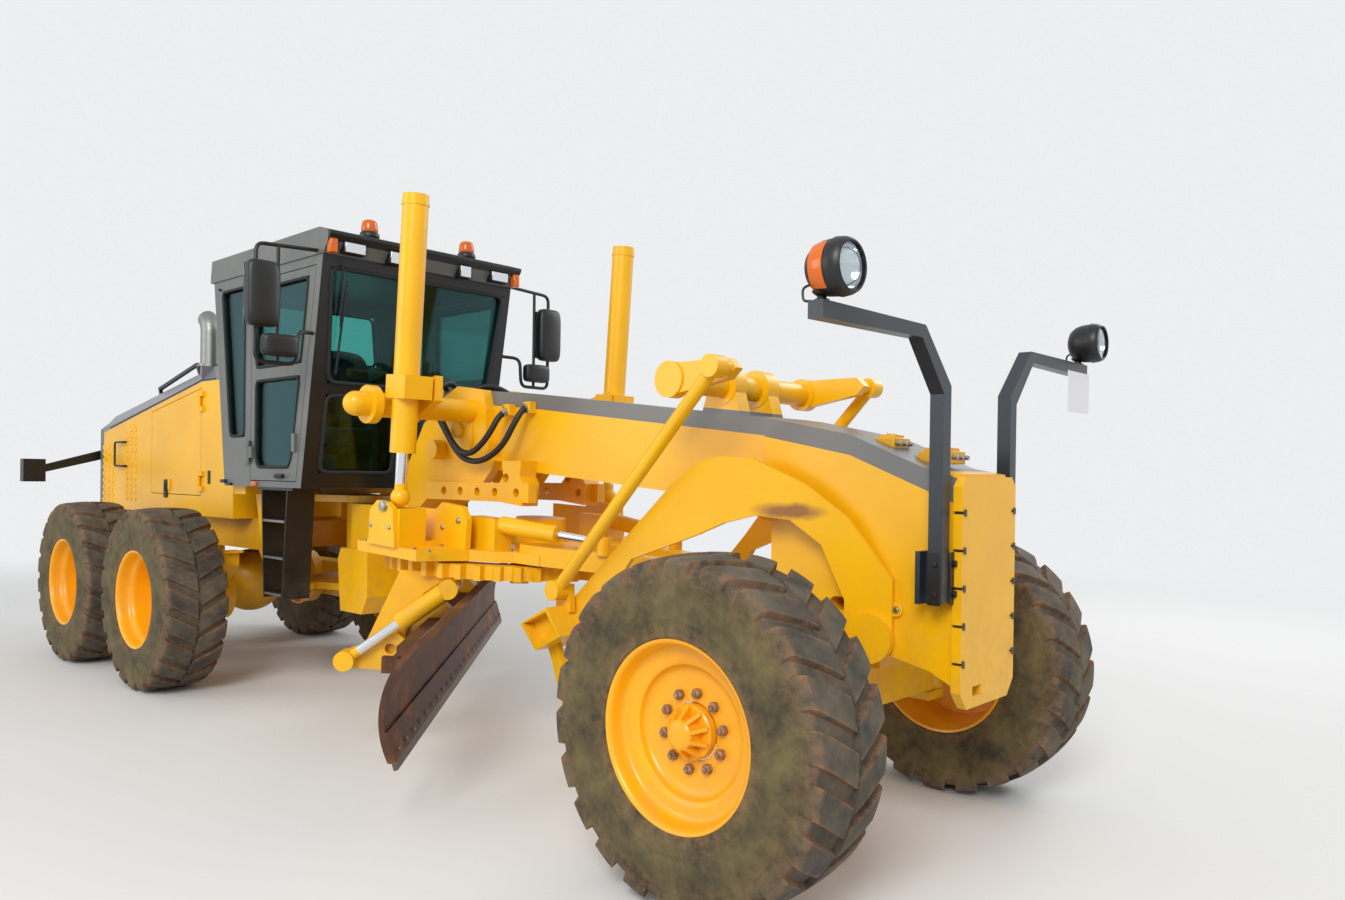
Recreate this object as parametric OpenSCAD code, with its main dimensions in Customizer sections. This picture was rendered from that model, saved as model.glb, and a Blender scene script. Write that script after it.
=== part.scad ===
/* [Machine layout] */
// Centre of the tandem to the back of the rear bumper
rear_overhang = 2140; // [2060:10:2300]
// Centre of the tandem to the front axle
wheelbase = 6060; // [6000:10:6100]
// Front axle to the front face of the nose plate
nose_out = 640; // [600:5:680]
// Distance between the two wheels of one tandem
tandem_spacing = 1571; // [1560:1:1600]
// Centre line of the machine to the middle of a tyre
wheel_y = 1020; // [1000:5:1050]
// Centre of the tandem to the frame hinge
hinge_reach = 1900; // [1880:5:1920]
// Ball of the drawbar, behind the front axle
ball_back = 430; // [410:5:450]
// Height of the drawbar ball
ball_z = 1100; // [1080:5:1120]
// Centre of the tandem to the centre of the circle
circle_reach = 3600; // [3580:5:3620]
// Nose-down slope of the drawbar, in degrees
drawbar_slope = 2.5; // [2:0.1:3]
// Angle of the blade from straight across, in degrees
blade_yaw = 45; // [40:1:48]

/* [Wheels] */
// Outer diameter of a tyre
tyre_d = 1330; // [1300:5:1340]
// Width of a tyre
tyre_w = 445; // [420:5:460]
// Height of a tread lug
lug_h = 26; // [18:1:30]
// Turn of the tread's middle behind its shoulders, in degrees
lug_slant = 10; // [6:1:12]
// Lugs round each half of a tyre
lugs = 17; // [15:1:17]
// Diameter of the rim flange
rim_d = 716; // [700:2:730]
// Thickness of a wheel's disc
disc_t = 20; // [16:1:24]
// Circle of the wheel nuts
nut_circle_r = 145; // [135:1:150]
// Wheel nuts, with as many ribs on the hub
wheel_nuts = 10; // [8:1:12]
// Outer face of the tyre to the front wheel's disc
front_disc_in = 140; // [130:5:150]
// Outer face of the tyre to the rear wheel's disc
rear_disc_in = 290; // [270:5:300]
// Angle between the kingpins' centre line and a tyre's middle: kingpin distance
kingpin_y = 720; // [710:5:730]
// Radius of a kingpin
kingpin_r = 36; // [30:1:42]

/* [Rear frame] */
// Middle of a frame rail from the centre line
rail_y = 350; // [340:5:360]
// Width of a frame rail
rail_w = 100; // [80:5:110]
// Top of the frame rails
rail_top = 1240; // [1230:5:1250]
// Height of a frame rail
rail_h = 240; // [200:5:260]
// Half width of the engine hood
hood_half = 560; // [540:5:580]
// Height of the hood's side at its front end
hood_front_z = 2330; // [2300:5:2350]
// Height of the hood's side at its rear end
hood_rear_z = 1990; // [1960:5:2020]
// Height of the bevelled top above the hood's sides
hood_bevel = 120; // [100:5:140]
// Thickness of the hood's panels
panel_t = 25; // [20:1:30]
// Front edge of the engine door, from the tandem's centre
engine_door_front = 310; // [300:5:330]
// Length of the engine door
engine_door_l = 1030; // [1000:5:1060]
// Bottom edge of the engine door
engine_door_z = 1400; // [1380:5:1420]
// Gap round doors
door_gap = 6; // [5:1:8]
// Diameter of the exhaust pipe
exhaust_d = 150; // [130:2:170]
// Top of the exhaust
exhaust_top = 2980; // [2900:10:3050]

/* [Cab] */
// Underside of the cab floor
cab_z = 1500; // [1490:5:1510]
// Top of the cab walls
cab_top = 3000; // [2980:5:3020]
// Top of the roof
roof_z = 3170; // [3150:5:3200]
// Half width of the cab
cab_half = 750; // [740:5:760]
// Thickness of the cab's walls and doors
cab_wall = 45; // [40:1:55]
// Thickness of the glass
glass_t = 8; // [6:1:10]
// Rear wall of the cab at its floor, from the tandem's centre
cab_back_low = 1190; // [1180:5:1200]
// Rear wall of the cab at its top
cab_back_top = 980; // [970:5:990]
// Front wall of the cab at its floor
cab_front_low = 2330; // [2310:5:2350]
// Front wall of the cab at its top
cab_front_top = 2590; // [2570:5:2600]
// Hinge line of the cab doors
cab_hinge_x = 1600; // [1590:5:1610]

/* [Front frame] */
// Half width of the beam
beam_half = 180; // [170:5:190]
// Half width of the nose
nose_half = 235; // [220:5:240]
// Half width of the nose plate
plate_half = 250; // [245:5:260]
// Thickness of the nose plate
plate_t = 40; // [30:2:50]
// Radius of the frame hinge's pin
hinge_pin_r = 70; // [60:2:80]
// Radial clearance of pins in their bores
pin_fit = 0.08; // [0.05:0.01:0.1]
// Lower end of the hinge's tongue
tongue_z0 = 800; // [790:5:810]
// Upper end of the hinge's tongue
tongue_z1 = 1385; // [1380:5:1390]

/* [Blade and circle] */
// Outer radius of the circle over its teeth
circle_r = 780; // [760:5:800]
// Teeth round the circle
circle_teeth = 44; // [40:1:48]
// Depth of a circle tooth
tooth_h = 45; // [40:1:50]
// Radial width of the circle's ring
ring_w = 140; // [120:5:160]
// Thickness of the circle's ring
ring_t = 80; // [70:5:90]
// Length of the blade
blade_l = 3660; // [3600:10:3700]
// Height of the blade
blade_h = 600; // [580:5:610]
// Radius of the blade's hollow face
blade_r = 430; // [420:5:450]
// Thickness of the blade's plate
blade_t = 25; // [20:1:30]
// Radius of a lift cylinder's barrel
lift_r = 72; // [65:1:80]
// Radius of a lift cylinder's rod
lift_rod_r = 35; // [30:1:38]
// Lift cylinders from the centre line
lift_y = 810; // [800:5:820]

/* [Scarifier] */
// Pivot of the yoke, ahead of the front axle
yoke_out = 240; // [220:5:250]
// Height of the yoke's pivot
yoke_z = 950; // [940:5:960]
// Half length of the scarifier's beam
scarifier_half = 720; // [700:5:740]
// Number of shanks
shanks = 9; // [7:2:11]

/* [Hidden] */
$fn = 48;
eps = 1;

YELLOW = "#f6b81a";
DEEP = "#f2a50c";
GREY = "#7a7c7a";
DARK = "#26292b";
RUBBER = "#3a3b36";
STEEL = "#c9cdd0";
RUST = "#5b3a26";
GLASS = "#8fc4c4";

nose_reach = wheelbase + nose_out;
ball_reach = wheelbase - ball_back;
yoke_reach = wheelbase + yoke_out;
wheel_r = tyre_d / 2;
wheel_z = wheel_r;
lamp_front = nose_reach + 85;
tandem_x = (rear_overhang - lamp_front) / 2;
front_x = tandem_x + wheelbase;
mid_x = tandem_x + tandem_spacing / 2;
rear_x = tandem_x - tandem_spacing / 2;
ball_x = tandem_x + ball_reach;
circle_x = tandem_x + circle_reach;
rail_z = rail_top - rail_h;
arc_x = 93;
arc_z = 493;
blade_back = blade_r + blade_t - arc_x;
lamp_reach_y = 1258;
// The blade reaches further out on the right, so the machine stands this far to the left
middle_y = (blade_back * sin(blade_yaw) + blade_l / 2 * cos(blade_yaw) - lamp_reach_y) / 2;

// Extrudes an outline drawn in X and Z over a span of Y.
module side_plate(outline, y0, y1)
    translate([0, y1, 0]) rotate([90, 0, 0]) linear_extrude(y1 - y0) polygon(outline);

// Extrudes an outline drawn in Y and Z over a span of X.
module cross_plate(outline, x0, x1)
    translate([x0, 0, 0]) rotate([90, 0, 90]) linear_extrude(x1 - x0) polygon(outline);

// A box between two corners.
module span(low, high) translate(low) cube(high - low);

// A rod along Y from y0 to y1.
module rod_y(x, z, r, y0, y1)
    translate([x, y0, z]) rotate([-90, 0, 0]) cylinder(h = y1 - y0, r = r);

// A rod between two points.
module rod(a, b, r) {
    d = b - a;
    l = norm(d);
    translate(a) rotate([0, acos(d[2] / l), atan2(d[1], d[0])]) cylinder(h = l, r = r);
}

// A bent tube through a list of points, with ball elbows a little larger than the tube.
module tube(points, r) {
    for (i = [0 : len(points) - 2]) rod(points[i], points[i + 1], r, $fn = 16);
    for (i = [1 : len(points) - 2]) translate(points[i]) sphere(r + 1.5, $fn = 16);
}

// Both sides of the machine.
module both_sides() {
    children();
    mirror([0, 1, 0]) children();
}

// Places drawn from the tandem's centre.
module from_tandem() translate([tandem_x, 0, 0]) children();

// Puts the machine over the middle of the ground that it covers.
module in_place() translate([0, middle_y, 0]) children();

// Everything that the drawbar carries slopes about its ball.
module on_drawbar()
    translate([ball_x, 0, ball_z]) rotate([0, drawbar_slope, 0])
        translate([-ball_x, 0, -ball_z]) children();

// The circle and blade turn about the circle's centre.
module on_circle() on_drawbar() translate([circle_x, 0, 0]) rotate([0, 0, blade_yaw]) children();

module rear_chassis() color(YELLOW) from_tandem() difference() {
    union() {
        both_sides() span([-1950, rail_y - rail_w / 2, rail_z], [1400, rail_y + rail_w / 2, rail_top]);
        for (x = [-1900, -700, 350, 1080]) span([x, -rail_y, rail_z + 20], [x + 100, rail_y, rail_top - 20]);
        // Bumper with the tow hitch
        span([-rear_overhang + hitch_l, -560, 700], [-1950, 560, 1160]);
        for (z = hitch_levels) {
            span([-rear_overhang + hitch_r, -hitch_r, z],
                [-rear_overhang + hitch_l + 1, hitch_r, z + hitch_t]);
            translate([-rear_overhang + hitch_r, 0, z]) cylinder(h = hitch_t, r = hitch_r);
        }
        both_sides() span([-1950, rail_y - 50, 820], [-1850, rail_y + 50, rail_z + 40]);
        // Fork of the frame hinge
        for (z = fork_plates) translate([0, 0, z]) {
            linear_extrude(fork_t) polygon([
                [1080, -rail_y - 50], [hinge_reach, -fork_r], [hinge_reach, fork_r], [1080, rail_y + 50]]);
            translate([hinge_reach, 0, 0]) cylinder(h = fork_t, r = fork_r);
        }
        both_sides() side_plate([[1080, rail_z], [1080, 900], [1280, fork_plates[0]], [1500, fork_plates[0]],
            [1500, fork_plates[1] + fork_t], [1080, fork_plates[1] + fork_t]], 240, 290);
        both_sides() side_plate([[1000, rail_top], [1000, rail_z], [1080, 900], [1180, fork_plates[0]],
            [1240, fork_plates[0]], [1240, fork_plates[1] + fork_t], [1080, fork_plates[1] + fork_t]],
            rail_y - 50, rail_y + 50);
        // Cross-beam under the cab and its sloping side plates
        span([1210, -690, fork_plates[1] + fork_t], [1400, 690, cab_z - 0.3]);
        both_sides() difference() {
            side_plate([[1230, cab_z - 60], [1400, cab_z - 60], [1900, 860], [1850, 760], [1560, 760],
                [1300, 1150]], 500, 534);
            side_plate([[1440, 1240], [1490, 1280], [1660, 1060], [1610, 1020]], 499, 535);
        }
        both_sides() span([1400, 285, 760], [1560, 510, 860]);
        both_sides() span([1400, 285, 745], [1640, 534, 790]);
    }
    translate([hinge_reach, 0, 0]) cylinder(h = 2000, r = hinge_pin_r + pin_fit);
    translate([-rear_overhang + hitch_r, 0, 0]) cylinder(h = 1100, r = hitch_bore_r);
}

module rear_axle() color(YELLOW) from_tandem() {
    rod_y(0, wheel_z, 150, -540, 540);
    translate([0, 0, wheel_z]) sphere(r = 265);
    both_sides() span([-170, rail_y - 50, wheel_z], [170, rail_y + 50, rail_z]);
    both_sides() rod_y(0, wheel_z, 230, 480, 559.7);
}

module tandem_cases() color(YELLOW) from_tandem() both_sides() {
    half = tandem_spacing / 2;
    difference() {
        union() {
            span([-half, 560, wheel_z - 150], [half, 740, wheel_z + 150]);
            for (x = [-half, half]) rod_y(x, wheel_z, 190, 560, 740);
            side_plate([[half - 60, wheel_z + 60], [half + 90, wheel_z + 60], [half + 300, wheel_z + 230],
                [half + 300, wheel_z + 330], [half + 240, wheel_z + 330],
                    [half - 60, wheel_z + 150]], 590, 710);
            span([half + 200, 575, wheel_z + 330], [half + 340, 725, wheel_z + 345]);
        }
    }
    for (x = [-half, half]) {
        rod_y(x, wheel_z, 110, 739, wheel_y + tyre_w / 2 - rear_disc_in - hub_back - 0.3);
        rod_y(x, wheel_z, stub_r, 739, wheel_y + tyre_w / 2 - rear_disc_in + stub_out);
    }
}

hood_rear = -1900;
hood_front = 900;

// One leaf of a door hinge on the right side, its hinge line through the origin.
module hinge_eye(dir, low, high) {
    translate([0, 0, low]) cylinder(h = high - low, r = eye_r);
    span([min(0, dir * leaf_l), -6, low], [max(0, dir * leaf_l), eye_out + 1, high]);
}

// The door's leaves; dir is the way the door lies from its hinge line.
module door_leaves(x, face, levels, dir) for (z = levels) translate([x, -face - eye_out, z]) difference() {
    hinge_eye(dir, 0, eye_h);
    translate([0, 0, -1]) cylinder(h = eye_h + 2, r = eye_pin_r + pin_fit);
}

// The fixed leaves with their pin.
module fixed_leaves(x, face, levels, dir) for (z = levels) translate([x, -face - eye_out, z]) {
    hinge_eye(-dir, -eye_h / 2, -1);
    hinge_eye(-dir, eye_h + 1, eye_h * 1.5);
    translate([0, 0, -eye_h / 2]) cylinder(h = eye_h * 2, r = eye_pin_r);
}
eye_r = 14;
eye_out = 16;
eye_h = 80;
eye_pin_r = 7;
leaf_l = 60;
engine_hinges = [1480, 2120];
cab_hinges = [1700, 2700];

// Height of the hood's side edge at x.
function hood_z(x) = hood_rear_z + (hood_front_z - hood_rear_z) * min(1,
    (x - hood_rear) / (engine_door_front - hood_rear));

module hood_block(inset, top) {
    x0 = hood_rear + inset;
    x1 = hood_front - inset;
    side_plate([[x0, rail_top + (inset > 0 ? -1 : 0)], [x1, rail_top + (inset > 0 ? -1 : 0)],
        [x1, hood_front_z + top], [engine_door_front, hood_front_z + top], [x0, hood_rear_z + top]],
        -hood_half + inset, hood_half - inset);
}

module hood() color(YELLOW) from_tandem() {
    slope = atan((hood_front_z - hood_rear_z) / (engine_door_front - hood_rear));
    both_sides() fixed_leaves(engine_door_front, hood_half, engine_hinges, -1);
    difference() {
        hood_block(0, hood_bevel);
        // Bevels along both top edges, sloping at the rear and level at the front
        both_sides() translate([engine_door_front, hood_half, hood_front_z]) {
            rotate([0, -slope, 0]) rotate([-50, 0, 0]) translate([-3000, -600, 0]) cube([3000, 1200, 400]);
            rotate([-50, 0, 0]) translate([-eps, -600, 0]) cube([1000, 1200, 400]);
        }
        hood_block(panel_t, -panel_t);
        side_plate([[hood_rear + panel_t, hood_rear_z - 60], [hood_front - panel_t, hood_front_z - 60],
            [hood_front - panel_t, hood_front_z + hood_bevel - panel_t],
            [engine_door_front, hood_front_z + hood_bevel - panel_t],
            [hood_rear + panel_t, hood_rear_z + hood_bevel - panel_t]], -hood_half + 190, hood_half - 190);
        both_sides() side_plate(engine_door_outline(0), hood_half - panel_t - eps, hood_half + eps);
        // Opening of the rear grille
        span([hood_rear - eps, -430, 1330], [hood_rear + panel_t + eps, 430, 1930]);
        // Exhaust outlet
        translate([130, -420, 2000]) cylinder(h = 700, r = exhaust_d / 2 + 1);
    }
}

function engine_door_outline(inset) = [
    [engine_door_front - inset, engine_door_z + inset],
    [engine_door_front - inset, hood_z(engine_door_front - inset) - 60 - inset],
    [engine_door_front - engine_door_l + inset,
        hood_z(engine_door_front - engine_door_l + inset) - 60 - inset],
    [engine_door_front - engine_door_l + inset, engine_door_z + inset]];

module engine_door() color(YELLOW) from_tandem() {
    side_plate(engine_door_outline(door_gap), -hood_half, -hood_half + panel_t);
    door_leaves(engine_door_front, hood_half, engine_hinges, -1);
    // Lock
    span([-330, -hood_half - 12, 1440], [-290, -hood_half + 1, 1530]);
}

module engine_block() color(GREY) from_tandem() {
    span([-1250, -300, rail_top], [250, 300, 1900]);
    for (x = [-1100, 100]) span([x, -rail_y - 40, rail_top], [x + 100, rail_y + 40, rail_top + 60]);
}

module rear_grille() color(GREY) from_tandem() {
    difference() {
        cross_plate([[-hood_half, rail_top], [hood_half, rail_top], [hood_half, hood_rear_z - 10],
            [hood_half - 110, hood_rear_z + 90], [-hood_half + 110, hood_rear_z + 90],
                [-hood_half, hood_rear_z - 10]],
            hood_rear - 90, hood_rear);
        span([hood_rear - 100, -430, 1330], [hood_rear + 10, 430, 1930]);
    }
    for (z = [1360 : 60 : 1900]) translate([hood_rear - 45, 0, z]) rotate([0, 35, 0])
        cube([50, 866, 8], center = true);
}

module exhaust_stack() color(GREY) from_tandem() {
    straight = exhaust_top - 230;
    bend = 130;
    difference() {
        union() {
            translate([130, -420, 1900]) cylinder(h = straight - 1900, r = exhaust_d / 2);
            translate([130 - bend, -420, straight]) rotate([90, 0, 0]) rotate_extrude(angle = 60)
                translate([bend, 0]) circle(exhaust_d / 2);
            translate([130, -420, 2380 + 80]) cylinder(h = 20, r = exhaust_d / 2 + 25);
        }
        // Open mouth
        translate([130 - bend, -420, straight]) rotate([90, 0, 0]) rotate([0, 0,
            25]) rotate_extrude(angle = 37)
            translate([bend, 0]) circle(exhaust_d / 2 - 8);
    }
}

// Rails stand on the hood's flat top and lean over it.
module hood_handrails() color(DARK) from_tandem() both_sides() {
    foot = 14;
    side_plate([[rail_back - foot, rail_foot(rail_back - foot)], [rail_back - 45, rail_foot(rail_back) + 62],
        [rail_front - 62, hood_z(rail_front) + rail_rise], [rail_front + foot, rail_foot(rail_front + foot)],
        [rail_front - foot, rail_foot(rail_front - foot)],
            [rail_front - 74, hood_z(rail_front) + rail_rise - 28],
        [rail_back - 14, rail_foot(rail_back) + 40], [rail_back + foot, rail_foot(rail_back + foot)]],
        -hood_half + 104, -hood_half + 132);
}
function rail_foot(x) = hood_z(x) + hood_bevel + 0.3;
rail_back = -830;
rail_front = 0;
rail_rise = 225;

module rear_lamps() color(DARK) from_tandem() both_sides() {
    side_top = 1800;
    span([hood_rear - 200, 480, side_top - 90], [hood_rear - 90, 520, side_top]);
    difference() {
        cross_plate([[480, side_top - 90], [480, side_top], [1010, side_top - 160], [1010, side_top - 230]],
            hood_rear - 200, hood_rear - 150);
    }
    span([hood_rear - 230, 1010, 1480], [hood_rear - 130, 1190, 1690]);
}

function cab_back(z) = cab_back_low + (cab_back_top - cab_back_low) * (z - cab_z) / (cab_top - cab_z);
function cab_front(z) = cab_front_low + (cab_front_top - cab_front_low) * (z - cab_z) / (cab_top - cab_z);

module cab_body() color(GREY) from_tandem() {
    cab_box();
    both_sides() fixed_leaves(cab_hinge_x, cab_half, cab_hinges, 1);
}

module cab_box() difference() {
    w = cab_wall;
    side_plate([[cab_back_low, cab_z], [cab_front_low, cab_z], [cab_front_top, cab_top],
        [cab_back_top, cab_top]],
        -cab_half, cab_half);
    side_plate([[cab_back(cab_z + w) + w, cab_z + w], [cab_front(cab_z + w) - w, cab_z + w],
        [cab_front_top - w, cab_top + eps], [cab_back_top + w, cab_top + eps]], -cab_half + w, cab_half - w);
    both_sides() {
        side_plate(cab_door_outline(0), -cab_half - eps, -cab_half + w + eps);
        side_plate(rear_window(), -cab_half - eps, -cab_half + w + eps);
    }
    // Windscreen and the two panes below it
    for (pane = front_panes) cross_plate(pane, cab_front_low - 200, cab_front_top + 200);
    cross_plate(back_pane, cab_back_top - 200, cab_back_low + 100);
}

function cab_door_outline(inset) = [
    [cab_hinge_x + inset, cab_z + 40 + inset],
    [cab_front(cab_z + 40) - 70 - inset, cab_z + 40 + inset],
    [cab_front(cab_top - 60) - 70 - inset, cab_top - 60 - inset],
    [cab_hinge_x + inset, cab_top - 60 - inset]];
function rear_window() = [[cab_back(1850) + 130, 1850], [cab_hinge_x - 90, 1850], [cab_hinge_x - 90, 2920],
    [cab_back(2920) + 130, 2920]];
door_upper = [[cab_hinge_x + 75, 2320], [cab_front(2320) - 150, 2320], [cab_front(2880) - 150, 2880],
    [cab_hinge_x + 75, 2880]];
door_lower = [[cab_hinge_x + 75, 2240], [cab_hinge_x + 75, 1700], [cab_hinge_x + 115, 1630],
    [cab_front(1630) - 190, 1630], [cab_front(1700) - 160, 1700], [cab_front(2240) - 150, 2240]];
front_panes = [
    [[-640, 2190], [640, 2190], [690, 2930], [-690, 2930]],
    [[-640, 1600], [-90, 1600], [-90, 2120], [-640, 2120]],
    [[640, 1600], [90, 1600], [90, 2120], [640, 2120]]];
back_pane = [[-560, 2480], [560, 2480], [560, 2900], [-560, 2900]];

module cab_glass() color(GLASS) from_tandem() {
    pane_in = (cab_wall - glass_t) / 2;
    both_sides() side_plate(rear_window(), -cab_half + pane_in, -cab_half + pane_in + glass_t);
    intersection() {
        side_plate([[cab_front_low - pane_in - glass_t, cab_z], [cab_front_low - pane_in, cab_z],
            [cab_front_top - pane_in, cab_top],
                [cab_front_top - pane_in - glass_t, cab_top]], -cab_half, cab_half);
        union() for (pane = front_panes) cross_plate(pane, cab_front_low - 200, cab_front_top + 200);
    }
    intersection() {
        side_plate([[cab_back_low + pane_in, cab_z], [cab_back_low + pane_in + glass_t, cab_z],
            [cab_back_top + pane_in + glass_t, cab_top],
                [cab_back_top + pane_in, cab_top]], -cab_half, cab_half);
        cross_plate(back_pane, cab_back_top - 200, cab_back_low + 100);
    }
}

module cab_roof() color(GREY) from_tandem() {
    side_plate([[cab_back_top - 40, cab_top], [cab_front_top + 20, cab_top],
        [cab_front_top + 110, roof_z - 60],
        [cab_front_top + 110, roof_z - 40], [cab_front_top - 30, roof_z], [cab_back_top - 20, roof_z - 10],
        [cab_back_top - 40, cab_top + 40]], -cab_half - 10, cab_half + 10);
}

module cab_door() color(GREY) from_tandem() {
    difference() {
        side_plate(cab_door_outline(door_gap), -cab_half, -cab_half + cab_wall);
        side_plate(door_upper, -cab_half - eps, -cab_half + cab_wall + eps);
        side_plate(door_lower, -cab_half - eps, -cab_half + cab_wall + eps);
    }
    door_leaves(cab_hinge_x, cab_half, cab_hinges, 1);
    // Handle
    span([cab_front(1750) - 140, -cab_half - 20, 1740], [cab_front(1750) - 100, -cab_half + 1, 1860]);
}

module door_glass() color(GLASS) from_tandem() {
    pane_in = (cab_wall - glass_t) / 2;
    for (pane = [door_upper, door_lower]) side_plate(pane, -cab_half + pane_in,
        -cab_half + pane_in + glass_t);
}

module operator_seat() color(DARK) from_tandem() {
    z = cab_z + cab_wall;
    span([1560, -130, z], [1800, 130, z + 250]);
    span([1480, -250, z + 250], [1960, 250, z + 390]);
    side_plate([[1480, z + 390], [1590, z + 390], [1500, z + 1010], [1400, z + 1010]], -240, 240);
    both_sides() span([1530, 250, z + 480], [1880, 310, z + 530]);
    both_sides() span([1540, 250, z + 300], [1590, 310, z + 490]);
}

module control_console() color(DARK) from_tandem() {
    z = cab_z + cab_wall;
    side_plate([[2140, z], [2250, z], [2210, z + 560], [2130, z + 600]], -90, 90);
    translate([2105, 0, z + 640]) rotate([0, -35, 0]) {
        rotate_extrude() translate([190, 0]) circle(15);
        for (a = [0 : 120 : 240]) rotate([0, 0, a]) rod([0, 0, -10], [185, 0, 0], 10);
        translate([0, 0, -70]) cylinder(h = 80, r = 32);
    }
    both_sides() {
        span([2060, 120, z + 420], [2250, 330, z + 520]);
        for (i = [0 : 4]) rod([2130, 150 + 38 * i, z + 500], [2120, 150 + 38 * i, z + 640], 9);
        span([2160, 80, z], [2230, 130, z + 430]);
    }
}

module roof_lights() color(DARK) from_tandem() both_sides() {
    // Beacons
    translate([2530, 390, roof_z]) cylinder(h = 40, r = 62);
    color("#e07818") translate([2530, 390, roof_z + 40]) cylinder(h = 80, r = 54);
    // Work lamps under the visor
    for (y = [190, 560]) span([cab_front_top + 20, y - 75, cab_top - 80],
        [cab_front_top + 90, y + 75, cab_top]);
}

module mirrors() color(DARK) from_tandem() both_sides() {
    // Hoop of tube from the roof's side to the foot on the front post
    span([2528, 1148, 2268], [2552, 1172, 3012]);
    span([2528, 1008, 2268], [2552, 1032, 3010]);
    span([2528, cab_half + 10.3, 3000], [2552, 1172, 3024]);
    span([2528, 888, 2268], [2552, 1172, 2292]);
    span([2528, 888, 2268], [2552, 912, 2502]);
    span([2450, 776, 2478], [2552, 912, 2502]);
    span([2447, cab_half + 0.3, 2470], [2487, 790, 2510]);
    // Tall head and wide-angle head
    span([2551, 1030, 2490], [2600, 1240, 2890]);
    span([2551, 905, 2320], [2590, 1135, 2450]);
}

module cab_steps() color(DARK) from_tandem() both_sides() {
    for (step = step_table) {
        z = step[0];
        span([step[1], step[3], z], [step[2], step[4], z + 20]);
    }
    for (end = [0, 1]) {
        x_top = end == 0 ? 1740 : 2110;
        x_low = end == 0 ? 1790 : 2050;
        cross_points = [[x_top, cab_z - 0.3], [x_top + 14, cab_z - 0.3], [x_low + 14, 740], [x_low, 740]];
        side_plate(cross_points, 540, 735);
    }
    span([1700, 540, cab_z - 20.3], [2200, 740, cab_z - 0.3]);
}
// Columns: height, front and back along x, inner and outer side
step_table = [[760, 1795, 2055, 550, 735], [1010, 1775, 2070, 550, 735], [1260, 1760, 2090, 550, 735]];
fork_plates = [tongue_z0 - 55, tongue_z1 + 5];
fork_t = 50;
fork_r = 170;
hitch_levels = [850, 950];
hitch_l = 130;
hitch_r = 65;
hitch_t = 34;
hitch_bore_r = 26;
stub_r = 50;
stub_out = 50;
hub_back = 60;
hub_foot_r = 104;
hub_cap_r = 57;
rib_t = 14;
rim_half = tyre_w / 2 - 19.5;
tongue_r = 150;
saddle_x = 3465;
tube_z = 1995;
tube_r = 70;
tube_end = 1015;
trunnion_z = 2090;
trunnion_x = 3690;
lift_top = 3150;
lift_eye_x = 3600;
lift_eye_z = 1475;
shaft_x = wheelbase - 660;
shaft_z = 2060;
arm_pin_x = wheelbase - 315;
arm_pin_z = 2090;
beam_pin_x = wheelbase - 1315;
beam_pin_z = 1040;
osc_r = 60;
hanger_gap = 140;

module main_frame() color(YELLOW) from_tandem() difference() {
    union() {
        // Hinge tongue with its pin
        translate([hinge_reach, 0, tongue_z0]) cylinder(h = tongue_z1 - tongue_z0, r = tongue_r);
        translate([hinge_reach, 0, fork_plates[0]])
            cylinder(h = fork_plates[1] + fork_t - fork_plates[0], r = hinge_pin_r);
        span([hinge_reach, -tongue_r, tongue_z0], [2150, tongue_r, tongue_z1]);
        span([2100, -250, 1080], [2560, 250, tongue_z1]);
        side_plate([[2100, 640], [2380, 640], [2450, 760], [2450, 1080], [2100, 1080],
            [2060, 1000]], -330, 330);
        // Gooseneck, beam and nose
        side_plate([[2500, 1080], [2690, 1080], [2760, 1330], [3200, 1640], [3940, 1630],
            [wheelbase - 910, 1530],
            [wheelbase - 500, 1450], [wheelbase - 300, 1400], [nose_reach - 180, 1400],
                [nose_reach - 180, 1665],
            [wheelbase + 110, 1805], [wheelbase - 390, 1900], [wheelbase - 880, 1950], [3930, 2090],
                [3180, 2150],
            [2960, 2060], [2500, tongue_z1]], -beam_half, beam_half);
        nose_block();
        // Bearings of the scarifier's shaft
        both_sides() {
            side_plate([[shaft_x - 130, 1900], [shaft_x + 130, 1880], [shaft_x + 60, shaft_z + 60],
                [shaft_x - 60, shaft_z + 60]], 90, beam_half - 5);
            rod_y(shaft_x, shaft_z, 95, 85, beam_half - 1);
        }
    }
    rod_y(shaft_x, shaft_z, 60 + pin_fit, -beam_half, beam_half);
    // Socket of the drawbar ball
    translate([ball_reach, 0, ball_z]) sphere(r = ball_r + pin_fit);
    translate([yoke_reach, 0, yoke_z]) rotate([90, 0, 0]) cylinder(h = 1000, r = yoke_pin_r - eps,
        center = true);
    // Slots in the nose's sides
    for (x = nose_slot) translate([x, 0, 1075]) rotate([90, 0, 0]) cylinder(h = 1000, r = 28, center = true);
    span([nose_slot[0], -500, 1047], [nose_slot[1], 500, 1103]);
}
ball_r = 75;
yoke_pin_r = 45;

nose_slot = [wheelbase + 50, wheelbase + 110];

module nose_block() {
    side_plate([[wheelbase - 300, 1450], [wheelbase - 300, 1010], [wheelbase + hanger_gap, 1010],
        [wheelbase + hanger_gap + 62, 900], [nose_reach - 280, 870], [nose_reach - 140, 840],
        [nose_reach - plate_t, 790], [nose_reach - plate_t, 1640], [nose_reach - 180, 1665],
        [wheelbase + 110, 1805], [wheelbase - 360, 1895]], -nose_half, nose_half);
    // Block that holds the front half of the drawbar ball
    span([ball_reach + 15, -120, ball_z - 110], [wheelbase - 260, 120, ball_z + 110]);
    // Hanger of the axle's oscillation pin
    for (x = [wheelbase - hanger_gap - 60, wheelbase + hanger_gap]) span([x, -110, 790], [x + 60, 110, 1020]);
}

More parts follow.
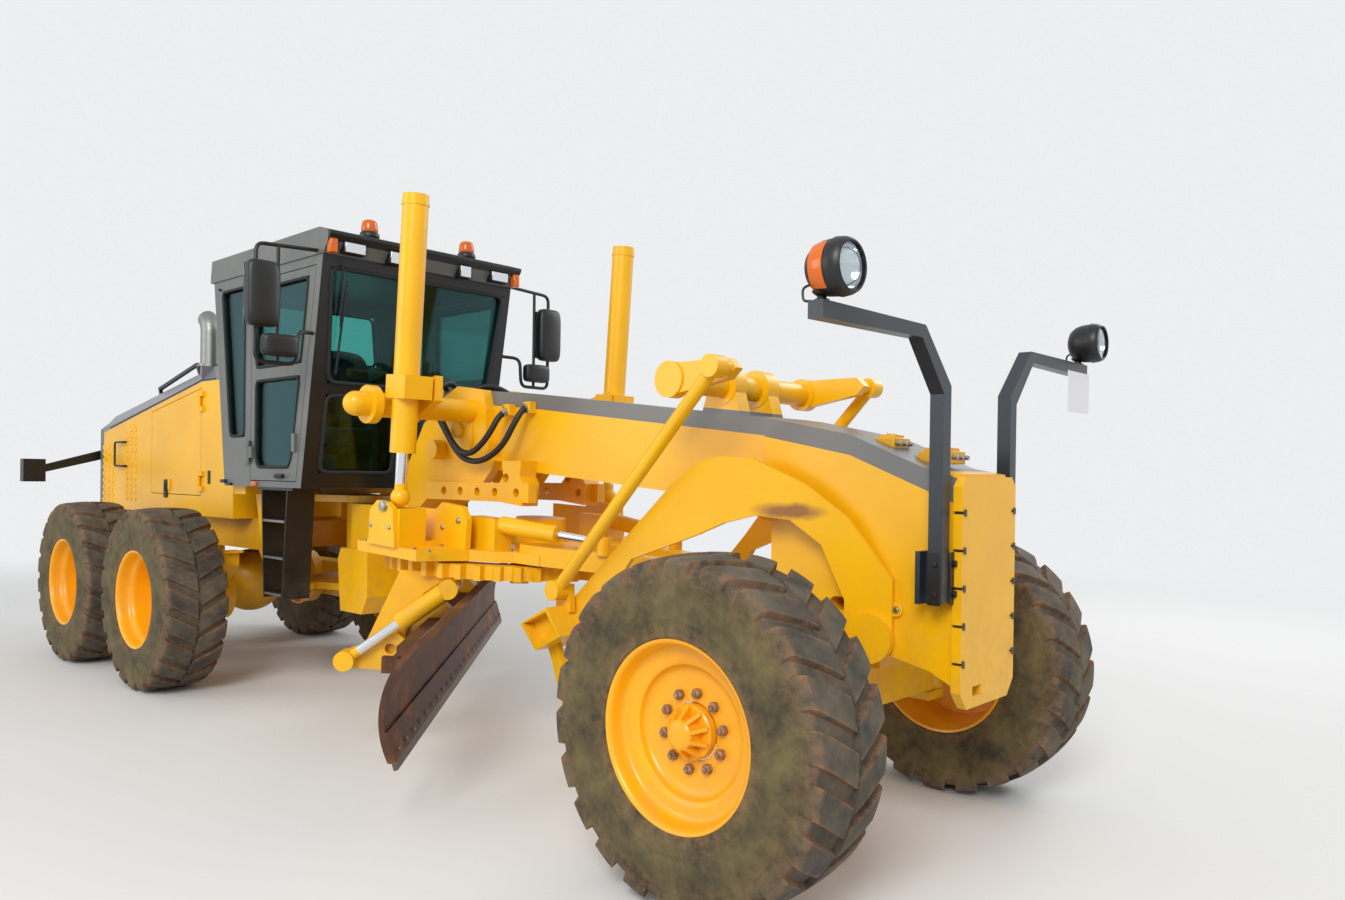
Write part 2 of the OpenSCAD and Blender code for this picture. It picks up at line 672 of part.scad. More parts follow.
module nose_plate() color(YELLOW) from_tandem() difference() {
    cross_plate([[-plate_half, 770], [-plate_half + 60, 700], [plate_half - 60, 700], [plate_half, 770],
        [plate_half, 1590], [plate_half - 40, 1630], [-plate_half + 40, 1630], [-plate_half, 1590]],
        nose_reach - plate_t, nose_reach);
    span([nose_reach - 200, -140, 745], [nose_reach + 10, -60, 785]);
    both_sides() for (z = [880 : 150 : 1500]) span([nose_reach - 200, plate_half - 40, z],
        [nose_reach + 10, plate_half + 1, z + 12]);
}

module saddle() color(YELLOW) from_tandem() both_sides() {
    lift_arms();
    side_plate([[2990, 1630], [3070, 1570], [3230, 1540], [3420, 1540], [3600, 1560], [3680, 1640],
        [3710, 1690],
        [3655, 1740], [3620, 1860], [3625, 2000], [3590, 2120], [3330, 2155], [3110, 2060], [3070, 1840],
        [2970, 1780], [2960, 1700]], beam_half, beam_half + plate_out);
    // Raised pad of the lock pin
    for (z = [1830, 1900]) rod_y(3370, z, 130, beam_half + plate_out - 1, beam_half + plate_out + 14);
    span([3240, beam_half + plate_out - 1, 1830], [3500, beam_half + plate_out + 14, 1900]);
    rod_y(3370, 1880, 48, beam_half + plate_out + 13, beam_half + plate_out + 40);
    rod_y(3180, 1760, 62, beam_half + plate_out - 1, beam_half + plate_out + 90);
    // Lock bar with its holes and end bracket
    difference() {
        union() {
            span([3080, beam_half + plate_out - 1, 1450], [4100, beam_half + plate_out + 60, 1560]);
            side_plate([[3830, 1451], [4040, 1430], [4052, 1560], [4022, 1600], [4034, 1690], [3858, 1690],
                [3872, 1600], [3815, 1540]], beam_half, beam_half + plate_out + 61);
        }
        for (x = lock_holes) rod_y(x, 1505, lock_hole_r, beam_half - 1, beam_half + plate_out + 62);
        rod_y(3895, 1590, lock_hole_r, beam_half - 1, beam_half + plate_out + 62);
    }
}
plate_out = 60;
lock_holes = [3280, 3450, 3620, 3790, 3990];
lock_hole_r = 26;

// Cross tube with a rounded end, its clamp disc and the arm out to the cylinder's pin.
module lift_arms() {
    rod_y(saddle_x, tube_z, tube_r, beam_half + plate_out - 1, tube_end);
    translate([saddle_x, tube_end, tube_z]) sphere(r = tube_r);
    rod_y(saddle_x, tube_z, 108, 898, 950);
    rod_y(saddle_x, tube_z, 100, 640, 690);
    side_plate([[saddle_x - 70, tube_z - 70], [saddle_x + 60, tube_z - 80],
        [trunnion_x + 60, trunnion_z - 70],
        [trunnion_x + 60, trunnion_z + 70], [saddle_x - 10, tube_z + 100]], 640, 690);
    rod_y(trunnion_x, trunnion_z, 34, 689, 715);
}

// Two hoses each side, from a manifold on the beam down over the saddle and up to the beam's flank.
module hydraulic_hoses() color(DARK) from_tandem() {
    side_plate([[2975, 2066.6], [3050, 2097.3], [3050, 2160], [2975, 2160]], -150, 150);
    both_sides() {
        span([3950, beam_half + 0.3, 1965], [4020, 232, 2035]);
        span([3765, beam_half + 0.3, 1960], [3830, 232, 2025]);
        hose(rounded([[3040, 110, 2130], [3075, 150, 2172], [3110, 225, 2165], [3150, 290, 2090],
            [3210, 318, 2000],
            [3310, 318, 1880], [3460, 318, 1720], [3600, 318, 1680], [3740, 318, 1700], [3890, 318, 1780],
            [3960, 300, 1900], [3985, 255, 1990], [3986, 215, 2002]]), hose_r);
        hose(rounded([[3040, 60, 2130], [3090, 90, 2188], [3150, 200, 2196], [3200, 330, 2120],
            [3250, 355, 2040],
            [3350, 357, 1915], [3470, 357, 1770], [3600, 357, 1722], [3700, 345, 1770], [3770, 318, 1860],
            [3797, 280, 1955], [3798, 215, 1990]]), hose_r);
    }
}
hose_r = 19;

// Cuts the corners of a path.
function cut_corners(p) = concat([p[0]],
    [for (i = [0 : len(p) - 2]) for (t = [0.25, 0.75]) p[i] * (1 - t) + p[i + 1] * t],
    [p[len(p) - 1]]);
function rounded(p) = cut_corners(p);
function unit(v) = v / norm(v);
function heading(p, i) = unit(p[min(i + 1, len(p) - 1)] - p[max(i - 1, 0)]);
// Side vectors along a path, each turned no more than the path turns
function side_vectors(p, i, n) = i == len(p) ? [] :
    let (d = heading(p, i), m = unit(n - (n * d) * d)) concat([m], side_vectors(p, i + 1, m));

// Round hose along a path, ten-sided.
module hose(p, r) {
    n = side_vectors(p, 0, [0, 0, 1]);
    k = 10;
    e = len(p) - 1;
    polyhedron(
        [for (i = [0 : e]) for (j = [0 : k - 1])
            p[i] + r * (cos(j * 360 / k) * n[i] + sin(j * 360 / k) * cross(heading(p, i), n[i]))],
        concat([[for (j = [0 : k - 1]) j]], [[for (j = [k - 1 : -1 : 0]) e * k + j]],
            [for (i = [0 : e - 1]) for (j = [0 : k - 1]) [i * k + j, i * k + k + j, i * k + k + (j + 1) % k]],
            [for (i = [0 : e - 1]) for (j = [0 : k - 1]) [i * k + j, i * k + k + (j + 1) % k,
                i * k + (j + 1) % k]]));
}

module lift_barrel() color(YELLOW) from_tandem() {
    lean = atan((lift_top_x - lift_eye_x) / (lift_top - lift_eye_z));
    difference() {
        union() {
            translate([lift_eye_x, -lift_y, lift_eye_z]) rotate([0, lean, 0]) {
                l = norm([lift_top_x - lift_eye_x, lift_top - lift_eye_z]);
                translate([0, 0, 250]) cylinder(h = l - 250, r = lift_r);
                translate([0, 0, l - 60]) cylinder(h = 20, r = lift_r + 4);
            }
            translate([trunnion_x - 30, -lift_y + 10, trunnion_z]) rotate([0, lean, 0])
                cube([190, 180, 130], center = true);
        }
        // Bore of the rod
        translate([lift_eye_x, -lift_y, lift_eye_z]) rotate([0, lean, 0]) translate([0, 0, 249])
            cylinder(h = 900, r = lift_rod_r + pin_fit);
        rod_y(trunnion_x, trunnion_z, 34 + pin_fit, -800, -600);
    }
}
lift_top_x = 3720;

module lift_rod() color(STEEL) from_tandem() {
    lean = atan((lift_top_x - lift_eye_x) / (lift_top - lift_eye_z));
    translate([lift_eye_x, -lift_y, lift_eye_z]) rotate([0, lean, 0]) cylinder(h = 1000, r = lift_rod_r);
    translate([lift_eye_x, -lift_y, lift_eye_z]) sphere(r = 55);
}

module lamp_arms() color(DARK) from_tandem() both_sides() {
    post = 60;
    cross_plate([[310 - post / 2, 1130], [310 + post / 2, 1130], [310 + post / 2, 1950], [520, 2150],
        [1190, 2140], [1190, arm_top], [495, arm_top], [310 - post / 2, 1985]], nose_reach - 100,
        nose_reach - 100 + post);
    span([nose_reach - 140, nose_half + 0.3, 1120], [nose_reach - 80, 281, 1330]);
    span([nose_reach - 160, nose_half + 0.3, 1120], [nose_reach - 139, 330, 1330]);
}

arm_top = 2200;

// Round lamps: a turned bowl, its bezel and the stem on the arm
module head_lamps() color(DARK) from_tandem() both_sides() {
    translate([nose_reach - 60, 1150, 2305]) rotate([0, 90, 0]) rotate_extrude()
        polygon([[0, -48], [34, -46], [66, -34], [92, -10], [104, 22], [108, 60], [108, 98], [101, 104],
            [101, 112],
            [92, 132], [60, 142], [0, 145]]);
    translate([nose_reach - 70, 1150, arm_top + 0.3]) cylinder(h = 26, r = 25);
}

module front_axle() color(YELLOW) {
    translate([front_x, 0, 0]) {
        cross_plate([[-590, 580], [590, 580], [590, 750], [420, 770], [180, 880], [-180, 880], [-420, 770],
            [-590, 750]], -90, 90);
        rod([-hanger_gap, 0, 850], [hanger_gap, 0, 850], osc_r);
        // Forks round the knuckles
        both_sides() for (z = [520, 770]) translate([0, kingpin_y, z]) {
            cylinder(h = 40, r = 75);
            translate([-75, -135, 0]) cube([150, 135, 40]);
        }
        both_sides() span([-28, kingpin_y - 135, 520], [28, kingpin_y - 90, 810]);
        both_sides() translate([0, kingpin_y, 500]) cylinder(h = 320, r = kingpin_r);
    }
}

module knuckle() color(YELLOW) translate([front_x, 0, 0]) difference() {
    union() {
        translate([0, -kingpin_y, 560.5]) cylinder(h = 209, r = 70);
        rod_y(0, wheel_z, 68, -(wheel_y + tyre_w / 2 - front_disc_in - hub_back - 0.3), -kingpin_y);
        rod_y(0, wheel_z, stub_r, -(wheel_y + tyre_w / 2 - front_disc_in + stub_out), -kingpin_y - 40);
        // Steering arm
        translate([0, -kingpin_y, 600]) rotate([0, 0, 180]) linear_extrude(50)
            polygon([[0, -50], [0, 50], [arm_l, 30], [arm_l, -30]]);
        translate([-arm_l, -kingpin_y, 600]) cylinder(h = 50, r = 45);
    }
    translate([0, -kingpin_y, 0]) cylinder(h = 1000, r = kingpin_r + pin_fit);
    translate([-arm_l, -kingpin_y, 0]) cylinder(h = 1000, r = 22 + pin_fit);
}
arm_l = 290;

module tie_rod() color(YELLOW) translate([front_x - arm_l, 0, 0]) {
    rod_y(0, 690, 28, -kingpin_y, kingpin_y);
    both_sides() {
        translate([0, kingpin_y, 651]) cylinder(h = 75, r = 42);
        translate([0, kingpin_y, 595]) cylinder(h = 60, r = 22);
    }
}

// Half of a tyre's section from its bead to the tread's edge, as columns: radius on a lug, radius in a
// groove, distance from the middle.
function tyre_half() = [
    [bead_r, bead_r, tyre_w / 2 - 42], [rim_d / 2 + 125, rim_d / 2 + 125, tyre_w / 2],
    [wheel_r, wheel_r - lug_h - 12, tyre_w / 2 - 24]];
lug_share = 0.44;
// Rim seat, with the flats between the tyre's stations just clear of it
bead_r = (rim_d / 2 - 20 + 0.3) / cos(lug_share / 2 * 360 / lugs);
// Places round one lug and its groove: both ends of the lug's top, then both ends of the groove
lug_steps = [0, lug_share, 0.5, 0.5 + lug_share];

// Chevron lugs that rise towards the shoulders, offset by half a lug from one side to the other.
module tyre_shape() color(RUBBER) {
    half = tyre_half();
    row = concat([for (p = half) [p[0], p[1], -p[2], 0]], [[wheel_r - 14, wheel_r - 14, 0, -1]],
        [for (i = [len(half) - 1 : -1 : 0]) [half[i][1], half[i][0], half[i][2], 0]]);
    n = 4 * lugs;
    m = len(row);
    points = [for (i = [0 : n - 1]) for (p = row)
        let (a = (floor(i / 4) + lug_steps[i % 4]) * 360 / lugs + p[3] * lug_slant,
            r = i % 4 < 2 ? p[0] : p[1])
        [r * cos(a), p[2], r * sin(a)]];
    polyhedron(points, [for (i = [0 : n - 1]) for (j = [0 : m - 1]) for (k = [[0, 0, 1, 1, 0, 1],
        [0, 0, 1, 0, 1, 1]])
        [for (c = [0 : 2]) ((i + k[2 * c]) % n) * m + (j + k[2 * c + 1]) % m]]);
}

// Outer half of a rim's section down to its dish, as columns: radius and distance from the middle.
function rim_face(gutter) = [
    [rim_d / 2 - 6, rim_half - 16], [rim_d / 2 - 1, rim_half - 8], [rim_d / 2, rim_half - 3],
        [rim_d / 2 - 3, rim_half],
    [rim_d / 2 - 9, rim_half], [rim_d / 2 - 22, rim_half - 12], [rim_d / 2 - 27, rim_half - 33],
    [rim_d / 2 - 32, gutter + 13], [rim_d / 2 - 40, gutter + 4]];

// A rim on the right side: the disc lies disc_in from the tyre's outer face, dish is the dish's own section.
module rim_shape(disc_in, gutter, dish) color(DEEP) rotate([90, 0, 0]) difference() {
    z = tyre_w / 2 - disc_in;
    union() {
        rotate_extrude($fn = 96) polygon(concat(rim_face(gutter), dish, [
            [hub_foot_r - 2, z], [hub_foot_r - 2, z - disc_t], [rim_d / 2 - 58, z - disc_t],
                [rim_d / 2 - 36, -150],
            [rim_d / 2 - 16, 2 - rim_half], [rim_d / 2 - 4, -rim_half], [rim_d / 2, 5 - rim_half],
            [rim_d / 2 - 20, 18 - rim_half], [rim_d / 2 - 20, rim_half - 18]]));
        rotate_extrude($fn = 96) polygon([[0, z - hub_back], [hub_foot_r, z - hub_back], [hub_foot_r, z + 30],
            [hub_foot_r - 8, z + 36], [hub_cap_r + 4, z + 36], [hub_cap_r, z + 92], [hub_cap_r - 8, z + 100],
            [0, z + 105]]);
        for (i = [0 : wheel_nuts - 1]) rotate([0, 0, (i + 0.5) * 360 / wheel_nuts]) rotate([90, 0, 0])
            linear_extrude(rib_t, center = true)
                polygon([[hub_cap_r - 10, z + 34], [hub_foot_r - 4, z + 34], [hub_foot_r - 4, z + 42],
                    [hub_cap_r, z + 90],
                    [hub_cap_r - 10, z + 88]]);
        for (i = [0 : wheel_nuts - 1]) rotate([0, 0, i * 360 / wheel_nuts]) translate([nut_circle_r, 0,
            z - 1])
            cylinder(h = 25, r = 17, $fn = 6);
    }
    translate([0, 0, z - hub_back - 1]) cylinder(h = hub_back + 1 + stub_out + 0.3, r = stub_r + pin_fit);
}
front_dish = [[rim_d / 2 - 53, 129], [rim_d / 2 - 98, 124], [rim_d / 2 - 106, 118], [rim_d / 2 - 118, 92],
    [rim_d / 2 - 132, 85], [rim_d / 2 - 153, tyre_w / 2 - front_disc_in]];
rear_dish = [[rim_d / 2 - 55, 98], [rim_d / 2 - 60, 20], [rim_d / 2 - 66, -32], [rim_d / 2 - 90, -64],
    [rim_d / 2 - 118, tyre_w / 2 - rear_disc_in]];
front_gutter = 129;
rear_gutter = 110;
module drawbar() color(YELLOW) on_drawbar() {
    translate([ball_x, 0, ball_z]) sphere(r = ball_r);
    rod([ball_x, 0, ball_z], [ball_x - 140, 0, ball_z], 48);
    from_tandem() {
        translate([0, 0, plate_z]) linear_extrude(105) difference() {
            polygon([[ball_reach - 110, -60], [ball_reach - 110, 60], [circle_reach + 700, 400],
                [circle_reach + 550, 400], [circle_reach + 550, -400], [circle_reach + 700, -400]]);
            polygon([[ball_reach - 420, 0], [circle_reach + 820, 270], [circle_reach + 820, -270]]);
        }
        // Top plate over the circle
        translate([0, 0, plate_z]) linear_extrude(60) difference() {
            union() {
                translate([circle_reach, 0]) circle(r = 690);
                translate([circle_reach, 0]) polygon([[400, -450], [720, -400], [720, 400], [400, 450]]);
                translate([circle_reach, 0]) polygon([[-350, -870], [250, -870], [350, -600],
                    [350, 600], [250, 870],
                    [-350, 870], [-450, 600], [-450, -600]]);
            }
            translate([circle_reach - 60, 0]) circle(r = 330);
        }
        // Shoes that hold the circle's ring
        for (a = [35, 145, 215, 325]) translate([circle_reach, 0, 0]) rotate([0, 0, a]) {
            span([ring_in - 60, -50, ring_z - 30], [ring_in - 7, 50, plate_z + 1]);
            span([ring_in - 60, -50, ring_z - 30], [ring_in + 15, 50, ring_z - 0.3]);
        }
        // Ears of the lift rods' eyes, their gussets and the plates behind them
        both_sides() {
            translate([circle_reach, 0, 0]) {
                side_plate([[-192, ear_z], [-187, 1306], [-112, 1365], [-10, 1361], [48, 1324],
                    [76, ear_z]], 866, 896);
                side_plate([[-207, ear_z], [-63, 1310], [2, 1310], [11, ear_z]], 735, 765);
                side_plate([[-285, ear_z], [-296, 1315], [25, 1317], [84, 1362], [275, 1351],
                    [326, 1285], [320, ear_z]],
                    565, 600);
                span([-205, 599, ear_z], [75, 896, ear_z + 26]);
            }
            span([circle_reach - 80, 700, ear_z + 1], [circle_reach + 80, 870, lift_eye_level - 58]);
        }
        // Cylinders that turn the circle, on their anchor block
        both_sides() {
            translate([circle_reach, 0, 0]) span([180, 380, ear_z], [450, 500, 1290]);
            rod([circle_reach + 440, 440, 1259], [circle_reach + 809, 352, 1236], 48);
            rod([circle_reach + 800, 354, 1237], [circle_reach + 1080, 287, 1219], 22);
            translate([circle_reach + 1100, 282, 1150]) cylinder(h = 95, r = 38);
        }
        translate([circle_reach + 250, 0, plate_z + 60]) cylinder(h = 160, r = 150);
    }
}
plate_z = 1055;
ear_z = plate_z + 59;
ring_z = 960;
ring_in = circle_r - tooth_h - ring_w;
lift_eye_level = 1383;

function circle_outline(n, r_root, r_tip) = [
    for (i = [0 : n - 1]) for (k = [[-0.30, r_root], [-0.16, r_tip], [0.16, r_tip], [0.30, r_root]])
        [k[1] * cos((i + k[0]) * 360 / n), k[1] * sin((i + k[0]) * 360 / n)]];

module circle_ring() difference() {
    translate([0, 0, ring_z]) linear_extrude(ring_t)
        polygon(circle_outline(circle_teeth, circle_r - tooth_h, circle_r));
    translate([0, 0, ring_z - 1]) cylinder(h = ring_t + 2, r = circle_r - tooth_h - ring_w);
}

module circle_part() color(YELLOW) on_circle() {
    circle_ring();
    // Arms down to the blade's pivots
    both_sides() difference() {
        side_plate([[-560, ring_z + 20], [-740, 560], [-660, 430], [-480, 370], [-415, 400],
            [-425, 470], [-520, 560],
            [-520, 720], [-420, 860], [-330, 925], [-310, ring_z + 20]], 540, 600);
        rod_y(pitch_x, pitch_z, pitch_r + pin_fit, 500, 700);
    }
    span([-560, -545, 840], [-440, 545, 920]);
    // Pin block of the tilt cylinder
    translate([tilt_top_x, 0, tilt_top_z]) side_plate([[-60, -60], [20, -60], [35, -40], [58, -15],
        [60, ring_z + 20 - tilt_top_z], [-60, ring_z + 20 - tilt_top_z]], -645, -599);
    rod_y(tilt_top_x, tilt_top_z, 30, -tilt_y - 45, -600);
}
pitch_x = -480;
pitch_z = 460;
pitch_r = 45;
tilt_top_x = -270;
tilt_top_z = 900;
tilt_eye_x = -820;
tilt_eye_z = 485;
tilt_y = 700;

module moldboard() color(RUST) on_circle() {
    half = blade_l / 2;
    difference() {
        rod_y(arc_x, arc_z, blade_r + blade_t, -half, half);
        rod_y(arc_x, arc_z, blade_r, -half - 1, half + 1);
        // Keeps the sector behind the chord
        side_plate([[-280, 280], [-130, blade_top], [900, blade_top], [900, -200],
            [-280, -200]], -half - 1, half + 1);
        side_plate([[-900, blade_top], [900, blade_top], [900, 1200], [-900, 1200]], -half - 1, half + 1);
        side_plate([[-900, 290], [900, 290], [900, -200], [-900, -200]], -half - 1, half + 1);
    }
    // Cutting edge
    side_plate([[-286, 258], [-268, 264], [-320, 430], [-338, 426]], -half, half);
    // Slide rails
    for (z = rail_levels) side_plate([[slide_x, z - 25], [back_x(z - 25), z - 25], [back_x(z + 25), z + 25],
        [slide_x, z + 25]], -half + 500, half - 500);
    // Rod of the side-shift cylinder
    rod_y(shift_x, shift_z, 24, -half + 560, 100);
    span([shift_x - 40, -half + 520, shift_z - 40], [back_x(shift_z), -half + 561, shift_z + 40]);
}

// A point inside the blade's curved plate, at height z.
function back_x(z) = arc_x - sqrt(pow(blade_r + blade_t, 2) - pow(z - arc_z, 2)) + blade_t / 2;
blade_top = 260 + blade_h;
slide_x = -405;
rail_levels = [500, 680];
shift_x = -440;
shift_z = 605;

module blade_carrier() color(YELLOW) on_circle() difference() {
    union() {
        both_sides() side_plate([[-372, 440], [-372, 560], [-348, 640], [-322, 700], [-290, 755], [-330, 790],
            [-440, 780], [-560, 520], [-530, 420], [-480, 405], [-400, 420]], 430, 530);
        span([-560, -530, 420], [-500, 530, 500]);
        rod_y(pitch_x, pitch_z, pitch_r, -650, 600);
        // Lever to the tilt rod
        side_plate([[-440, 415], [tilt_eye_x + 10, tilt_eye_z - 55], [tilt_eye_x - 45, tilt_eye_z],
            [tilt_eye_x + 10, tilt_eye_z + 55], [-560, 640], [-440, 540]], -650, -605);
        rod_y(pitch_x, pitch_z, 58, -650, -601);
        // Barrel of the side-shift cylinder
        rod_y(shift_x, shift_z, 40, -480, 540);
    }
    both_sides() for (z = rail_levels) span([slide_x - 1, 400, z - 26], [-300, 560, z + 26]);
    rod_y(shift_x, shift_z, 24 + pin_fit, -531, 520);
    rod_y(-590, 545, 30, -651, -604);
}

tilt_d = [tilt_top_x - tilt_eye_x, tilt_top_z - tilt_eye_z];
tilt_l = norm(tilt_d);
tilt_a = atan2(tilt_d[0], tilt_d[1]);

module tilt_frame() on_circle() translate([tilt_eye_x, -tilt_y, tilt_eye_z]) rotate([0, tilt_a,
    0]) children();

module tilt_barrel() color(YELLOW) tilt_frame() difference() {
    union() {
        translate([0, 0, barrel_from]) cylinder(h = tilt_l - barrel_from - 40, r = 52);
        translate([0, 0, tilt_l]) rotate([90, 0, 0]) cylinder(h = 90, r = 55, center = true);
    }
    translate([0, 0, barrel_from - 1]) cylinder(h = tilt_l - barrel_from - 100, r = 26 + pin_fit);
    translate([0, 0, tilt_l]) rotate([90, 0, 0]) cylinder(h = 300, r = 30 + pin_fit, center = true);
}
barrel_from = 360;

module tilt_rod() color(STEEL) tilt_frame() {
    cylinder(h = 520, r = 26);
    rotate([90, 0, 0]) cylinder(h = 90, r = 55, center = true);
}

// Yoke arms splay outwards from the nose to the scarifier's beam
yoke_splay = 10;

module yoke_arm() from_tandem() translate([yoke_reach, -nose_half - 20, 0]) rotate([0, 0, yoke_splay])
    translate([-yoke_reach, 0, 0]) difference() {
        union() {
            translate([yoke_reach, 0, 0]) side_plate([[100, 950], [100, 1200], [-100, 1450],
                [-300, 1590], [-560, 1700],
                [-720, 1710], [-850, 1680], [-980, 1580], [-1200, 1360], [-1720, 830], [-1560, 740],
                    [-1400, 950],
                [-1210, 1210], [-840, 1345], [-700, 1405], [-540, 1445], [-370, 1430], [-220, 1330],
                    [-110, 1100],
                [-110, 950]], -30, 0);
            translate([yoke_reach, -60, yoke_z]) rotate([-90, 0, 0]) cylinder(h = 60, r = 105);
        }
    }

module scarifier() color(YELLOW) {
    yoke_arm();
    mirror([0, 1, 0]) yoke_arm();
    from_tandem() {
        rod_y(yoke_reach, yoke_z, yoke_pin_r - 1.3, -nose_half - 40, nose_half + 40);
        difference() {
            translate([yoke_reach, 0, 0]) side_plate([[-1740, 860], [-1620, 740], [-1440, 830], [-1540, 962]],
                -scarifier_half, scarifier_half);
            translate([yoke_reach, 0, 0]) both_sides() side_plate([[-1715, 863], [-1616, 764], [-1466, 839],
                [-1548, 940]], scarifier_half - 60, scarifier_half + 1);
        }
        for (i = [0 : shanks - 1]) {
            y = (i - (shanks - 1) / 2) * (2 * scarifier_half - 200) / (shanks - 1);
            translate([yoke_reach, 0, 0]) side_plate([[-1700, 900], [-1640, 940], [-1520, 700], [-1450, 480],
                [-1510, 470], [-1600, 700]], y - 16, y + 16);
        }
        both_sides() translate([yoke_reach, 0, 0]) side_plate([[-1610, 930], [-1500, 930],
            [-1510, beam_pin_z + 30],
            [-1600, beam_pin_z + 30]], 565, 600);
    }
}

module scarifier_shaft() color(YELLOW) from_tandem() {
    rod_y(shaft_x, shaft_z, 60, -560, 560);
    both_sides() {
        rod_y(shaft_x, shaft_z, 85, 490, 560);
        side_plate([[shaft_x, shaft_z - 75], [arm_pin_x, arm_pin_z - 45], [arm_pin_x + 45, arm_pin_z],
            [arm_pin_x, arm_pin_z + 45], [shaft_x, shaft_z + 75]], 500, 550);
        rod_y(arm_pin_x, arm_pin_z, 30, 550, 640);
    }
}

module scarifier_rods() color(YELLOW) from_tandem() both_sides() difference() {
    union() {
        rod([beam_pin_x, 640, beam_pin_z], [arm_pin_x, 640, arm_pin_z], 32);
        rod_y(beam_pin_x, beam_pin_z, 50, 600.3, 680);
        rod_y(arm_pin_x, arm_pin_z, 50, 600, 680);
    }
    rod_y(arm_pin_x, arm_pin_z, 30 + pin_fit, 550, 641);
}

module front_rim() rim_shape(front_disc_in, front_gutter, front_dish);

module rear_rim() rim_shape(rear_disc_in, rear_gutter, rear_dish);

module at_wheel(x, side) translate([x, side * wheel_y, wheel_z]) mirror([0, side > 0 ? 1 : 0, 0]) children();

in_place() rear_chassis();
in_place() rear_axle();
in_place() tandem_cases();
in_place() hood();
in_place() engine_block();
in_place() rear_grille();
in_place() exhaust_stack();
in_place() hood_handrails();
in_place() rear_lamps();
in_place() cab_body();
in_place() cab_roof();
in_place() cab_glass();
in_place() operator_seat();
in_place() control_console();
in_place() roof_lights();
in_place() mirrors();
in_place() cab_steps();
in_place() engine_door();  // engine_door_right
in_place() mirror([0, 1, 0]) engine_door();  // engine_door_left
in_place() cab_door();  // cab_door_right
in_place() mirror([0, 1, 0]) cab_door();  // cab_door_left
in_place() door_glass();  // door_glass_right
in_place() mirror([0, 1, 0]) door_glass();  // door_glass_left
in_place() main_frame();
in_place() nose_plate();
in_place() saddle();
in_place() hydraulic_hoses();
in_place() lamp_arms();
in_place() head_lamps();
in_place() front_axle();
in_place() drawbar();
in_place() circle_part();  // circle
in_place() blade_carrier();
in_place() moldboard();
in_place() tilt_barrel();
in_place() tilt_rod();
in_place() lift_barrel();  // lift_barrel_right
in_place() mirror([0, 1, 0]) lift_barrel();  // lift_barrel_left
in_place() lift_rod();  // lift_rod_right
in_place() mirror([0, 1, 0]) lift_rod();  // lift_rod_left
in_place() scarifier();
in_place() scarifier_shaft();
in_place() scarifier_rods();
in_place() knuckle();  // knuckle_right
in_place() mirror([0, 1, 0]) knuckle();  // knuckle_left
in_place() tie_rod();
in_place() at_wheel(front_x, -1) tyre_shape();  // tyre_front_right
in_place() at_wheel(front_x, 1) tyre_shape();  // tyre_front_left
in_place() at_wheel(mid_x, -1) tyre_shape();  // tyre_mid_right
in_place() at_wheel(mid_x, 1) tyre_shape();  // tyre_mid_left
in_place() at_wheel(rear_x, -1) tyre_shape();  // tyre_rear_right
in_place() at_wheel(rear_x, 1) tyre_shape();  // tyre_rear_left
in_place() at_wheel(front_x, -1) front_rim();  // rim_front_right
in_place() at_wheel(front_x, 1) front_rim();  // rim_front_left
in_place() at_wheel(mid_x, -1) rear_rim();  // rim_mid_right
in_place() at_wheel(mid_x, 1) rear_rim();  // rim_mid_left
in_place() at_wheel(rear_x, -1) rear_rim();  // rim_rear_right
in_place() at_wheel(rear_x, 1) rear_rim();  // rim_rear_left
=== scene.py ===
import math
import bpy
import numpy as np
from mathutils import Matrix, Vector


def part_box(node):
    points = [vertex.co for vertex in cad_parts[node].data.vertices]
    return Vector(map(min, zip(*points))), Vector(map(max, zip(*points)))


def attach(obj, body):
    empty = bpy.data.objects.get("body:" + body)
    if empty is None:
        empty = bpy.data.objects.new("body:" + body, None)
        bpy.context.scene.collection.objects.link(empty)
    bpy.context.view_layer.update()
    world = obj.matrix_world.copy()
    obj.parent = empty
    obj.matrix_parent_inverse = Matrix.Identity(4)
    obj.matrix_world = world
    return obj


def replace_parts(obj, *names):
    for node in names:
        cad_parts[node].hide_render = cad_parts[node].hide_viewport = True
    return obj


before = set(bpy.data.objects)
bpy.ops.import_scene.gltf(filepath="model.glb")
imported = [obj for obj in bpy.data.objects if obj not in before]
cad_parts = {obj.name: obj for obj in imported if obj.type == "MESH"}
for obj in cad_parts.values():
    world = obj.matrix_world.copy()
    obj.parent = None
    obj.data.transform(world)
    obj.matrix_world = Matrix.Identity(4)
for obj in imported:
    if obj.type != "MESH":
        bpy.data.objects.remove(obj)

scene = bpy.context.scene
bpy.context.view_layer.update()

# Viewpoint
# The photographer stands ahead of the right front wheel, at eye height, and looks back
# along the machine with a phone's wide lens.
eye = Vector((6.1405, -3.748, 1.619))
heading, tilt, roll = (math.radians(a) for a in (132.22, -0.38, 0.79))
look = Vector((math.cos(heading) * math.cos(tilt), math.sin(heading) * math.cos(tilt), math.sin(tilt)))
level = Vector((math.sin(heading), -math.cos(heading), 0))
upright = level.cross(look)
side = level * math.cos(roll) + upright * math.sin(roll)
top = upright * math.cos(roll) - level * math.sin(roll)
lens = bpy.data.cameras.new("viewpoint")
